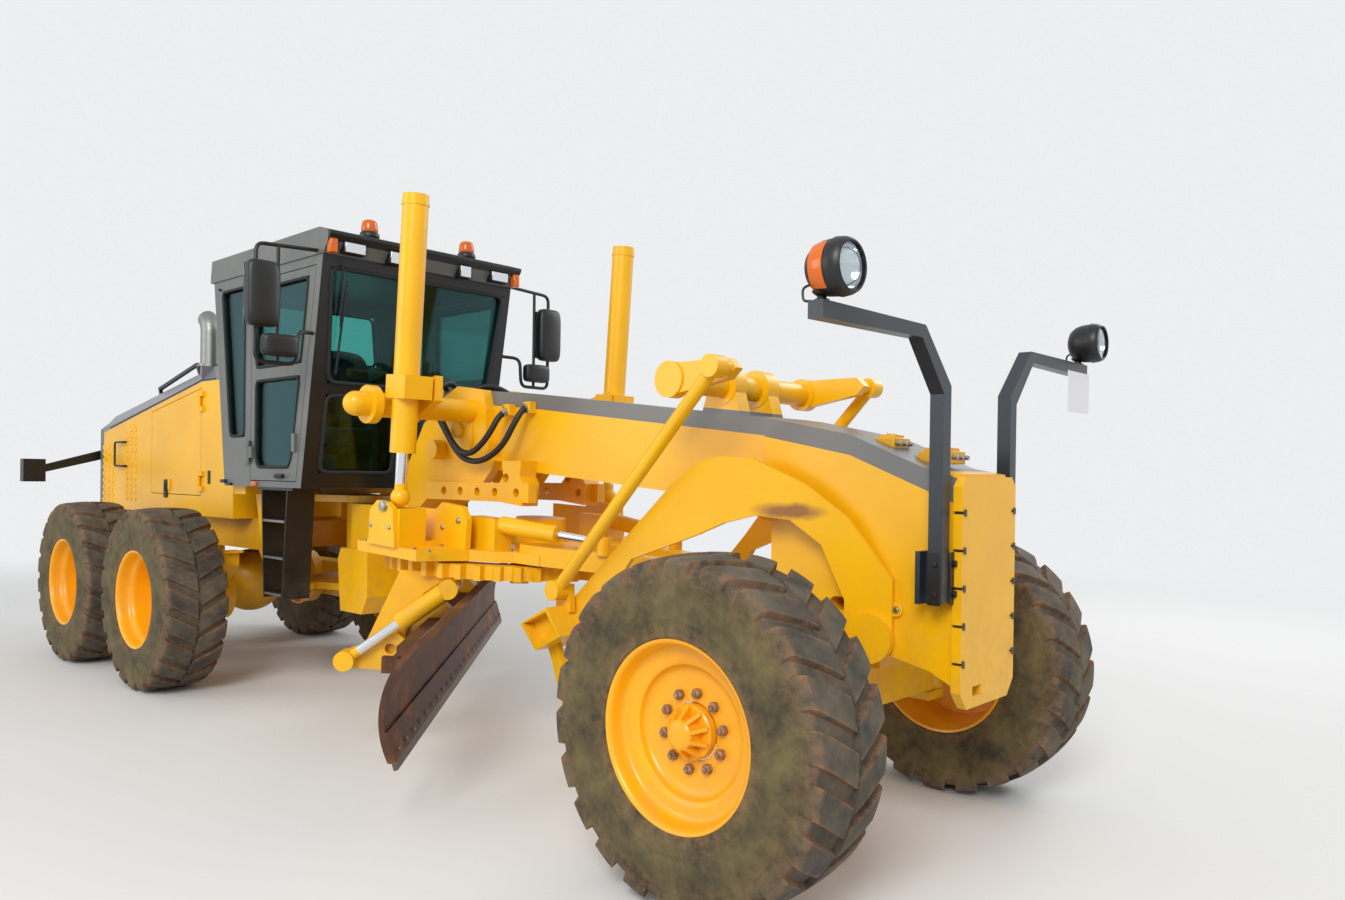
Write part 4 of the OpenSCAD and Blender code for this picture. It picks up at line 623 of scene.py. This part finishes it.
# Roof lights
# The visor's black-sprayed fascia holds two halogen work lamps, two smaller ones inboard and an
# amber marker at each corner; two amber beacons stand on the roof.
def box(one, other):
    """Corner points and faces of a plate between two opposite corners, for a Bevel modifier to round."""
    low, high = np.minimum(one, other), np.maximum(one, other)
    points = [(x, y, z) for z in (low[2], high[2]) for y in (low[1], high[1]) for x in (low[0], high[0])]
    faces = [[0, 2, 3, 1], [4, 5, 7, 6], [0, 1, 5, 4], [2, 6, 7, 3], [0, 4, 6, 2], [1, 3, 7, 5]]
    return np.array(points), faces


def eased(piece, width, segments=2):
    """Rounds a piece's edges by a bevel of this width."""
    bevel = piece.modifiers.new("edges", "BEVEL")
    bevel.width, bevel.segments = width, segments
    bevel.limit_method, bevel.angle_limit = "ANGLE", math.radians(30)
    return piece


coat(parted(enamel("roof_enamel_two_tone", *cab_greys, gloss=0.4), 0, 0.345, "#0b0c0d"), "cab_roof")
cab_black = ("rear_frame", "black_plastic")
markers, work_glass, housings = [], [], []
for turn in (-1, 1):
    for y, wide, low, high in ((0.578, 0.078, 3.005, 3.083), (0.278, 0.05, 2.99, 3.08)):
        housings.append(box(at(2.615, turn * y - wide, low), at(2.682, turn * y + wide, high)))
        inner, foot, top_z = wide - 0.008, low + 0.008, high - 0.008
        work_glass.append(box(at(2.6825, turn * y - inner, foot), at(2.686, turn * y + inner, top_z)))
    markers.append(box(at(2.64, turn * 0.728 - 0.026, 2.995), at(2.69, turn * 0.728 + 0.026, 3.085)))
eased(fixture("roof_lamp_housings", housings, plastic, *cab_black), 0.008)
eased(fixture("roof_lamp_lenses", work_glass, mirror_steel, "rear_frame", "rod_chrome"), 0.0015)
markers = eased(fixture("roof_markers", markers, amber, *cab_black), 0.008)
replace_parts(markers, "roof_lights")
base_shape = [(0, 0.0005), (0, 0.064), (0.01, 0.066), (0.026, 0.062), (0.034, 0.055), (0.036, 0.0005)]
dome_shape = [(0.036, 0.0005), (0.036, 0.052), (0.044, 0.055), (0.062, 0.0545), (0.082, 0.052),
    (0.098, 0.0485), (0.108, 0.043), (0.115, 0.032), (0.118, 0.016), (0.119, 0.0005)]
domes, bases = [], []
for turn in (-1, 1):
    foot = at(2.53, turn * 0.39, 3.1705)
    bases.append(lathe(base_shape, foot, (0, 0, 1), 48))
    domes.append(lathe(dome_shape, foot, (0, 0, 1), 48))
fixture("beacon_bases", bases, plastic, *cab_black)
fixture("beacon_domes", domes, amber, *cab_black)


# Mirrors
# Each side has a hoop of bent black tube from the roof to the door post, with a tall mirror
# on its outer leg and a wide-angle one below.
def power(wave, p):
    """A sine or cosine raised to p with its sign kept; a p below 1 squares a round form up."""
    return np.sign(wave) * np.abs(wave) ** p


def poled(grid):
    """Closes a grid that wraps in its rows: the first and last columns shrink to one point each."""
    n, m = grid.shape[:2]
    points = np.vstack([grid[:, 1:-1].reshape(-1, 3), grid[0, :1], grid[0, -1:]])
    foot, i = n * (m - 2), np.arange(n)
    low, high = i * (m - 2), i * (m - 2) + m - 3
    fans = [(foot, a, b) for a, b in zip(low.tolist(), np.roll(low, -1).tolist())]
    fans += [(a, foot + 1, b) for a, b in zip(high.tolist(), np.roll(high, -1).tolist())]
    return points, quads(n, m - 2).tolist() + [list(f) for f in fans]


def two_angles(rows, cols):
    """Angles round a ball and up it."""
    around = np.linspace(-np.pi, np.pi, rows, endpoint=False)
    return np.meshgrid(around, np.linspace(-np.pi / 2, np.pi / 2, cols), indexing="ij")


def head(centre, wide, high, deep, bow=0.35, rows=40, cols=21):
    """A moulded mirror head: a rounded box whose back swells out, over a grid of two angles."""
    u, v = two_angles(rows, cols)
    y = power(np.cos(v), 0.3) * power(np.cos(u), 0.42) * wide / 2
    x = power(np.cos(v), 0.3) * power(np.sin(u), 0.42) * deep / 2
    z = power(np.sin(v), 0.42) * high / 2
    x = x * (1 + bow * (x > 0) * np.cos(v) * np.cos(np.clip(y / wide * np.pi, -1.5, 1.5)))
    return poled(np.stack([centre[0] + x, centre[1] + y, centre[2] + z], -1))


hoops, heads, mirror_glass = [], [], []
for turn in (-1, 1):
    hoop = [at(x, turn * y, z) for x, y, z in ((2.54, 0.765, 3.02), (2.54, 1.16, 3), (2.54, 1.16, 2.28),
        (2.54, 0.9, 2.28), (2.54, 0.885, 2.49), (2.47, 0.757, 2.5))]
    hoops.append(tube(bent(hoop, 0.055), 0.0125))
    hoops.append(tube([at(2.54, turn * 1.02, 3), at(2.54, turn * 1.02, 2.285)], 0.0115))
    heads.append(head(at(2.575, turn * 1.135, 2.69), 0.21, 0.4, 0.085))
    heads.append(head(at(2.575, turn * 1.02, 2.385), 0.23, 0.135, 0.075))
    mirror_glass.append(box(at(2.532, turn * 1.04, 2.51), at(2.5345, turn * 1.23, 2.87)))
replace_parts(fixture("mirror_hoops", hoops, black, "rear_frame", "black_paint"), "mirrors")
fixture("mirror_heads", heads, plastic, *cab_black, 60)
fixture("mirror_faces", mirror_glass, mirror_steel, "rear_frame", "rod_chrome")


# Hoses and fasteners
# Two pressure hoses each side loop over the saddle; they are wire-braided rubber with
# pressed steel ends. Bolts are drawn as hexagon heads on washers.
def bolt(place, way, size, high=0.009):
    """A hexagon head on its washer, standing along way from a face."""
    outline = [(-0.001, 0.0005), (-0.001, size * 1.25), (0.002, size * 1.25), (0.0022, size),
        (high - 0.0015, size), (high, size * 0.86), (high, 0.0005)]
    return lathe(outline, place, way, 6)


hose_rubber = plain("braided_hose_rubber", "#141414", 0.55)
zinc = bright("zinc_plated_fitting", "#a9a79c", 0.34)
hoses, ferrules = [], []
routes = (
    [(3.04, 0.11, 2.13), (3.075, 0.15, 2.172), (3.11, 0.225, 2.165), (3.15, 0.29, 2.09), (3.21, 0.318, 2),
        (3.31, 0.318, 1.88), (3.46, 0.318, 1.72), (3.6, 0.318, 1.68), (3.74, 0.318, 1.7),
        (3.89, 0.318, 1.78), (3.96, 0.3, 1.9), (3.985, 0.255, 1.99), (3.986, 0.215, 2.002)],
    [(3.04, 0.06, 2.13), (3.09, 0.09, 2.188), (3.15, 0.2, 2.196), (3.2, 0.33, 2.12), (3.25, 0.355, 2.04),
        (3.35, 0.357, 1.915), (3.47, 0.357, 1.77), (3.6, 0.357, 1.722), (3.7, 0.345, 1.77),
        (3.77, 0.318, 1.86), (3.797, 0.28, 1.955), (3.798, 0.215, 1.99)])


def cut_corners(path, times):
    """Rounds a path: each time, every leg keeps the points at its quarter and its three quarters."""
    path = np.array(path, float)
    for _ in range(times):
        inner = np.stack([path[:-1] * 0.75 + path[1:] * 0.25, path[:-1] * 0.25 + path[1:] * 0.75], 1)
        path = np.vstack([path[:1], inner.reshape(-1, 3), path[-1:]])
    return path


for turn in (-1, 1):
    for route in routes:
        path = cut_corners([at(x, turn * y, z) for x, y, z in route], 3)
        hoses.append(tube(path, 0.0178, 16))
        for end, k in ((path[1], 9), (path[-2], -10)):
            way = path[k] - end
            ferrules.append(tube([end, end + way * 0.55, end + way], 0.0215, 12))
    for x, z in ((3.985, 2), (3.797, 1.9925)):
        ferrules.append(bolt(at(x - 0.02, turn * 0.232, z + 0.022), (0, turn, 0), 0.008))
        ferrules.append(bolt(at(x + 0.02, turn * 0.232, z - 0.022), (0, turn, 0), 0.008))
fixture("hose_loops", hoses, hose_rubber, "front_frame", "hose_rubber", 60)
fixture("hose_ends", ferrules, zinc, "front_frame", "worn_steel")
blocks = [box(at(2.975, -0.15, 2.098), at(3.05, 0.15, 2.16))]
for turn in (-1, 1):
    for x, z in ((3.985, 2), (3.7975, 1.9925)):
        blocks.append(box(at(x - 0.033, turn * 0.1805, z - 0.034), at(x + 0.033, turn * 0.232, z + 0.034)))
blocks = eased(fixture("hose_clamps", blocks, yellow, "front_frame", "yellow_paint"), 0.003)
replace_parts(blocks, "hydraulic_hoses")

# Bolt heads on the lamp arms' clamps, the nose plate's T-bars and the frame
studs, bars = [], []
for turn in (-1, 1):
    for z in (1.165, 1.285):
        studs.append(bolt(at(6.63, turn * 0.34, z), (0, turn, 0), 0.014, 0.014))
        studs.append(bolt(at(6.668, turn * 0.256, z), (1, 0, 0), 0.014, 0.014))
    for z in (0.886, 1.036, 1.186, 1.336, 1.486):
        bars.append(tube([at(6.66, turn * 0.232, z), at(6.7085, turn * 0.232, z)], 0.005, 8))
        bars.append(tube([at(6.704, turn * 0.232, z - 0.014), at(6.704, turn * 0.232, z + 0.014)], 0.006, 8))
fixture("clamp_bolts", studs, plastic, "front_frame", "black_paint")
fixture("nose_pins", bars, iron, "front_frame", "black_paint")


# Nose fittings
# Valve blocks with their unions lie on the nose's top, a two-bolt lug is welded to each
# flank, the lamp arms' feet are clamped by black angles, and a blank plate hangs on the left arm.
beam_side = 0.2352
valves, unions, lugs, angles = [], [], [], []
for x, z, long in ((6.25, 1.742, 0.105), (6.49, 1.682, 0.15)):
    valves.append(box(at(x - long / 2, -0.09, z), at(x + long / 2, 0.05, z + 0.055)))
    valves.append(box(at(x - long / 2 + 0.012, -0.06, z + 0.053), at(x + long / 2 - 0.012, 0.02, z + 0.07)))
    for k in range(3):
        y = -0.07 + 0.05 * k
        unions.append(bolt(at(x - long / 2, y, z + 0.028), (-1, 0, 0), 0.011, 0.024))
        unions.append(bolt(at(x + long / 2, y, z + 0.028), (1, 0, 0), 0.011, 0.024))
    for y in (-0.045, 0.005):
        unions.append(bolt(at(x, y, z + 0.07), (0, 0, 1), 0.007, 0.007))
for turn in (-1, 1):
    rim = [at(x + 0.03 * math.cos(a), turn * beam_side, 1.075 + 0.03 * math.sin(a))
        for x, low, high in ((6.365, 90, 270), (6.41, -90, 90)) for a in arc_of(low, high, 9)]
    lugs.append(prism(rim if turn < 0 else rim[::-1], (0, 0, 0), (0, turn * 0.014, 0)))
    for x in (6.362, 6.413):
        unions.append(bolt(at(x, turn * 0.249, 1.075), (0, turn, 0), 0.012, 0.01))
    angles.append(box(at(6.6605, turn * beam_side, 1.122), at(6.6685, turn * 0.281, 1.33)))
    angles.append(box(at(6.601, turn * 0.3402, 1.122), at(6.659, turn * 0.3462, 1.33)))
eased(fixture("flank_lugs", lugs, yellow, "front_frame", "yellow_paint"), 0.003)
eased(fixture("valve_blocks", valves, yellow, "front_frame", "yellow_paint"), 0.005)
fixture("valve_unions", unions, zinc, "front_frame", "worn_steel")
eased(fixture("arm_angles", angles, black, "front_frame", "black_paint"), 0.003)
plate_white = plain("blank_plate_enamel", "#e9e7ea", 0.35)
blank = [box(at(6.6605, 0.93, 1.955), at(6.6625, 1.21, 2.155))]
eased(fixture("blank_plate", blank, plate_white, "front_frame", "black_paint"), 0.0008)


# Cab trim
# Black rubber seals round the panes, a bonded black border inside the windscreen, the door's
# lock and grab bar, and the wiper.
seal_rubber = plain("window_seal_rubber", "#121314", 0.7)


def front_at(z):
    """The cab's front face at a height, in metres ahead of the tandem's centre."""
    return 2.33 + 0.26 * (z - 1.5) / 1.5


def back_at(z):
    """The cab's back face at a height, likewise."""
    return 1.19 - 0.21 * (z - 1.5) / 1.5


def seal_round(corners, round_by, thick):
    """A rubber strip round a pane."""
    return tube(bent(corners, round_by, 6, True), thick, 8, True)


cab_side = 0.749
side_panes = (
    [(1.682, 2.327), (front_at(2.32) - 0.157, 2.327), (front_at(2.88) - 0.157, 2.873), (1.682, 2.873)],
    [(1.682, 2.233), (1.682, 1.7), (1.72, 1.637), (front_at(1.63) - 0.193, 1.637),
        (front_at(1.7) - 0.167, 1.7), (front_at(2.24) - 0.157, 2.233)],
    [(back_at(1.85) + 0.137, 1.857), (1.503, 1.857), (1.503, 2.913), (back_at(2.92) + 0.137, 2.913)])
rear_seals = []
for turn, name in sides:
    *door_seals, rear_seal = [seal_round([at(x, turn * cab_side, z) for x, z in pane], 0.05, 0.011)
        for pane in side_panes]
    rear_seals.append(rear_seal)
    fixture("pane_seals_cab_door_" + name, door_seals, seal_rubber, "cab_door_" + name, "black_plastic", 60)
fixture("pane_seals_rear_frame", rear_seals, seal_rubber, *cab_black, 60)
front_panes = ([(-0.633, 2.197), (0.633, 2.197), (0.683, 2.923), (-0.683, 2.923)],
    [(-0.633, 1.607), (-0.097, 1.607), (-0.097, 2.113), (-0.633, 2.113)],
    [(0.633, 1.607), (0.097, 1.607), (0.097, 2.113), (0.633, 2.113)])
frames = [seal_round([at(front_at(z) + 0.002, y, z) for y, z in pane], 0.06, 0.014) for pane in front_panes]
back_pane = [(-0.553, 2.487), (0.553, 2.487), (0.553, 2.893), (-0.553, 2.893)]
frames.append(seal_round([at(back_at(z) - 0.002, y, z) for y, z in back_pane], 0.05, 0.011))
# Wiper arm and blade on the windscreen
arm = [at(front_at(2.93) + 0.03, -0.62, 2.95), at(front_at(2.55) + 0.03, -0.6, 2.55)]
wiper = [at(front_at(2.85) + 0.018, -0.575, 2.85), at(front_at(2.25) + 0.018, -0.595, 2.25)]
frames += [tube(arm, 0.006, 8), tube(wiper, 0.008, 8)]
fixture("screen_seals", frames, seal_rubber, *cab_black, 60)

# The cab's front wall is black from the floor to the visor, and so is the visor's fascia
skin = [prism([at(front_at(z) + 0.0006, y, z) for y, z in rim[::-1]], (0, 0, 0), (0.0022, 0, 0)) for rim in (
    ((-cab_side, 1.501), (-cab_side, 2.999), (-0.69, 2.999), (-0.69, 2.93), (-0.64, 2.19), (-0.64, 1.501)),
    ((0.64, 1.501), (0.64, 2.19), (0.69, 2.93), (0.69, 2.999), (cab_side, 2.999), (cab_side, 1.501)),
    ((-0.69, 2.93), (-0.69, 2.999), (0.69, 2.999), (0.69, 2.93)),
    ((-0.64, 2.12), (-0.64, 2.19), (0.64, 2.19), (0.64, 2.12)),
    ((-0.64, 1.501), (-0.64, 1.6), (0.64, 1.6), (0.64, 1.501)),
    ((-0.09, 1.6), (-0.09, 2.12), (0.09, 2.12), (0.09, 1.6)))]
fixture("front_wall_skin", skin, black, "rear_frame", "black_paint", None)


# Cab fittings
# Small black castings at the cab's lower edge, the door's slam latch and stay, amber side
# lights below the doors, bright-worn edges on the steps and a catch on the roof's corner.
catches, side_lights, treads = [], [], []
for turn in (-1, 1):
    catches.append(box(at(1.165, turn * cab_side, 1.52), at(1.225, turn * 0.772, 1.545)))
    catches.append(tube([at(1.15, turn * 0.765, 1.532), at(1.24, turn * 0.765, 1.532)], 0.006, 8))
    catches.append(box(at(1.25, turn * cab_side, 1.504), at(1.32, turn * 0.765, 1.522)))
    catches.append(tube([at(1.1, turn * cab_side, 2.93), at(1.1, turn * 0.77, 2.94)], 0.008, 8))
    side_lights.append(box(at(1.645, turn * cab_side, 1.503), at(1.715, turn * 0.768, 1.536)))
    for z, back, front in ((0.762, 1.807, 2.043), (1.012, 1.787, 2.058), (1.262, 1.772, 2.078)):
        treads.append(box(at(back, turn * 0.7352, z), at(front, turn * 0.7372, z + 0.016)))
eased(fixture("cab_catches", catches, plastic, *cab_black), 0.002)
eased(fixture("cab_side_lights", side_lights, amber, *cab_black), 0.006)
fixture("step_edges", treads, zinc, "rear_frame", "worn_steel")
for turn, name in sides:
    lock = [box(at(2, turn * 0.7505, 1.562), at(2.1, turn * 0.768, 1.592)),
        tube([at(2.01, turn * 0.775, 1.577), at(2.12, turn * 0.775, 1.577)], 0.008, 10)]
    eased(fixture("door_lock_" + name, lock, plastic, "cab_door_" + name, "black_plastic"), 0.003)


# Hood trim
# Each side has two groups of slanted louvres stamped in the sheet, a bent black bar handle
# between them, a flush latch with a black bezel and black sealing strip along its seams.
louvres, fittings, strips = [], [], []
# One louvre's stamp, which falls forward by 35 degrees, and the columns of stamps
fall, louvre_pitch, hood_side = 0.61, 0.062, 0.56
flat, stamp_faces = head((0, 0, 0), 0.014, 0.03, 0.098, 0, 16, 9)
stamp = np.stack([flat[:, 0] * math.cos(fall) + flat[:, 2] * math.sin(fall), flat[:, 1],
    flat[:, 2] * math.cos(fall) - flat[:, 0] * math.sin(fall)], 1)
columns = ((-1.875, 1.3, 1.8), (-1.775, 1.27, 1.84), (-1.675, 1.26, 1.88), (-1.315, 1.36, 1.96),
    (-1.215, 1.36, 2), (-1.115, 1.36, 2.03))
for turn in (-1, 1):
    louvres += [(stamp + at(x, turn * hood_side, z), stamp_faces) for x, low, high in columns
        for z in np.arange(low, high, louvre_pitch)]
    handle = [at(x, turn * y, z) for x, y, z in ((-1.3, 0.561, 1.853), (-1.3, 0.598, 1.853),
        (-1.5, 0.598, 1.853), (-1.5, 0.598, 1.635), (-1.3, 0.598, 1.635), (-1.3, 0.561, 1.635))]
    fittings.append(tube(bent(handle, 0.03, 5), 0.01, 10))
    fittings.append(box(at(0.452, turn * 0.559, 1.5), at(0.49, turn * 0.568, 1.605)))
    # Seam strip between the yellow side and the grey top
    line = [at(-1.735, turn * 0.5608, 1.992), at(0.31, turn * 0.5608, 2.331), at(0.575, turn * 0.5608, 2.331)]
    strips.append(tube(line, 0.0045, 6))
    strips.append(tube([at(-0.575, turn * 0.5606, 1.232), at(-1.735, turn * 0.5606, 1.232)], 0.003, 6))
fixture("hood_louvres", louvres, yellow, "rear_frame", "yellow_paint", 60)
eased(fixture("hood_fittings", fittings, plastic, *cab_black, 60), 0.003)
fixture("hood_seams", strips, seal_rubber, *cab_black, 60)
for turn, name in sides:
    latch = [box(at(-0.415, turn * 0.559, 1.372), at(-0.355, turn * 0.575, 1.525)),
        box(at(-0.397, turn * 0.574, 1.43), at(-0.373, turn * 0.582, 1.5))]
    eased(fixture("engine_door_latch_" + name, latch, plastic, "engine_door_" + name, "black_paint"), 0.004)


# Blade and drawbar trim
# The blade's cutting edge is a separate bolted strip, scoured bright along its lip, with
# countersunk plough bolts; the drawbar's plates carry hexagon bolts and pin heads.
ball_x, ball_z, circle_x = 5.63, 1.1, 3.6
droop, blade_turn = math.radians(2.5), math.radians(45)


def on_drawbar(x, y, z):
    """A place drawn level with the drawbar, turned down about its ball by the drawbar's droop."""
    dx, dz, c, s = x - ball_x, z - ball_z, math.cos(droop), math.sin(droop)
    return at(ball_x, 0, ball_z) + (dx * c + dz * s, y, dz * c - dx * s)


def on_circle(x, y, z):
    """A place drawn square to the blade about the circle's middle, turned by the blade's 45 degrees."""
    c, s = math.cos(blade_turn), math.sin(blade_turn)
    return on_drawbar(circle_x + x * c - y * s, x * s + y * c, z)


edge_steel = bright("scoured_cutting_edge", "#6f6459", 0.5)
plough_head = [(-0.001, 0.0005), (-0.001, 0.014), (0.003, 0.013), (0.0035, 0.0005)]
face_way = on_circle(1, 0, 0.29) - on_circle(0, 0, 0)
face_way /= np.linalg.norm(face_way)
plough = [lathe(plough_head, on_circle(-0.2795, y, 0.335), face_way, 12)
    for y in np.arange(-1.75, 1.76, 0.1525)]
fixture("plough_bolts", plough, edge_steel, "moldboard", "worn_steel")
lip = [on_circle(x, y, z) for y in (-1.8302, 1.8302)
    for x, z in ((-0.2865, 0.2585), (-0.2675, 0.2645), (-0.279, 0.3), (-0.2985, 0.297))]
lip_faces = [[0, 1, 2, 3], [7, 6, 5, 4], [0, 4, 5, 1], [1, 5, 6, 2], [2, 6, 7, 3], [3, 7, 4, 0]]
fixture("edge_lip", [(np.array(lip), lip_faces)], edge_steel, "moldboard", "worn_steel", None)

# Pin heads on the lift rods' ears, bolts of the plates behind them and bolts round the circle's shoe
pins, plate_top, bolt_circle = [], 1.115, 0.62
pin_table = ((3.56, 0.896, 1.335, 0.03), (3.43, 0.896, 1.22, 0.012), (3.62, 0.896, 1.22, 0.012),
    (3.36, 0.6, 1.22, 0.013), (3.5, 0.6, 1.27, 0.013), (3.7, 0.6, 1.22, 0.013), (3.85, 0.6, 1.27, 0.016))
for turn in (-1, 1):
    pins += [bolt(on_drawbar(x, turn * y, z), (0, turn, 0), size, 0.7 * size) for x, y, z, size in pin_table]
    pins += [bolt(on_drawbar(x, turn * 0.835, plate_top), (0, 0, 1), 0.012)
        for x in (3.28, 3.42, 3.6, 3.78, 3.92)]
for a in np.radians(np.arange(0, 360, 20)):
    place = on_drawbar(circle_x + bolt_circle * math.cos(a), bolt_circle * math.sin(a), plate_top)
    pins.append(bolt(place, (0, 0, 1), 0.011))
fixture("drawbar_bolts", pins, zinc, "drawbar", "worn_steel")


# Operator's seat
# A suspension seat seen through the glass: a foam cushion and back under woven cloth, on a
# black pressed-steel base with two padded arms.
cloth = finish_of("woven_seat_cloth")
place = own_place(cloth)
warp = add(cloth, "TexWave", {"Vector": place, "Scale": 260}, bands_direction="X")
weft = add(cloth, "TexWave", {"Vector": place, "Scale": 260}, bands_direction="Z")
weave = add(cloth, "Math", {0: warp.outputs[1], 1: weft.outputs[1]}, operation="MULTIPLY")
tone = mixed(cloth, weave, "#16171a", "#2c2e33")
knit = add(cloth, "Bump", {"Height": weave, "Strength": 0.4, "Distance": 0.001})
principled(cloth, {"Base Color": tone, "Roughness": 0.9, "Normal": knit, "Sheen Weight": 0.3})


def pad(low, high, lean=0, crown=0.16):
    """A cushion: a rounded box over two angles whose faces swell by crown, leaned about its foot."""
    centre, reach_of = (np.array(low) + high) / 2, (np.array(high) - low) / 2
    u, v = two_angles(64, 33)
    x = power(np.cos(v), 0.35) * power(np.sin(u), 0.35)
    y = power(np.cos(v), 0.35) * power(np.cos(u), 0.35)
    z = power(np.sin(v), 0.35)
    swell = 1 - crown * (x ** 2 + y ** 2 + z ** 2 - 1).clip(0, 2) / 2
    x, y, z = (part * swell * r for part, r in zip((x, y, z), reach_of))
    # Two sewn channels run across the cushion
    groove = 0.006 * np.exp(-((np.abs(y) - reach_of[1] * 0.45) / 0.006) ** 2)
    z = z - groove * np.sign(z) * (np.abs(z) > reach_of[2] * 0.6)
    x = x - lean * (z + reach_of[2])
    return poled(np.stack([centre[0] + x, centre[1] + y, centre[2] + z], -1))


seat_parts = (("seat_cushion", pad(at(1.5, -0.25, 1.8), at(1.96, 0.25, 1.935))),
    ("seat_back", pad(at(1.485, -0.235, 1.94), at(1.59, 0.235, 2.54), 0.145)))
for name, part in seat_parts:
    piece = fixture(name, [part], cloth, "rear_frame", "seat_fabric", 60)
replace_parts(piece, "operator_seat")
seat_frame = [box(at(1.57, -0.12, 1.546), at(1.79, 0.12, 1.6)), box(at(1.6, -0.1, 1.6), at(1.76, 0.1, 1.74)),
    box(at(1.5, -0.23, 1.74), at(1.94, 0.23, 1.797))]
for turn in (-1, 1):
    seat_frame.append(box(at(1.53, turn * 0.285 - 0.028, 2.025), at(1.88, turn * 0.285 + 0.028, 2.075)))
    seat_frame.append(box(at(1.545, turn * 0.285 - 0.018, 1.85), at(1.585, turn * 0.285 + 0.018, 2.03)))
eased(fixture("seat_frame", seat_frame, plastic, *cab_black), 0.01, 3)


# Painted eyes and bright drive rods
# The eyes at the rods' ends are painted yellow up to the wiper line, and the circle's
# drive cylinders have chromed rods.
def eye_painted(name, centre, radius):
    """Chrome that turns to yellow enamel inside a ball about the rod's eye."""
    mat = bright(name, *chrome_look)
    place = own_place(mat)
    far = add(mat, "VectorMath", {0: place, 1: tuple(centre)}, operation="DISTANCE")
    inside = add(mat, "Math", {0: far.outputs["Value"], 1: radius}, operation="LESS_THAN")
    tree = mat.node_tree
    chrome_shade = next(node for node in tree.nodes if node.type == "BSDF_PRINCIPLED")
    out = next(node for node in tree.nodes if node.type == "OUTPUT_MATERIAL")
    paint = add(mat, "BsdfPrincipled", {"Base Color": body_yellow[0], "Roughness": 0.32})
    both = add(mat, "MixShader", {0: inside, 1: chrome_shade, 2: paint})
    tree.links.new(both.outputs[0], out.inputs[0])
    return mat


coat(eye_painted("tilt_rod_eye_enamel", on_circle(-0.82, -0.7, 0.485), 0.095), "tilt_rod")
for turn, name in sides:
    coat(eye_painted("lift_rod_eye_enamel_" + name, at(3.6, turn * 0.81, 1.475), 0.085), "lift_rod_" + name)
drive_rods = [tube([on_drawbar(4.415, turn * 0.3505, 1.2366), on_drawbar(4.66, turn * 0.2921, 1.2208)],
    0.0232, 24) for turn in (-1, 1)]
fixture("circle_drive_rods", drive_rods, chrome, "drawbar", "rod_chrome")
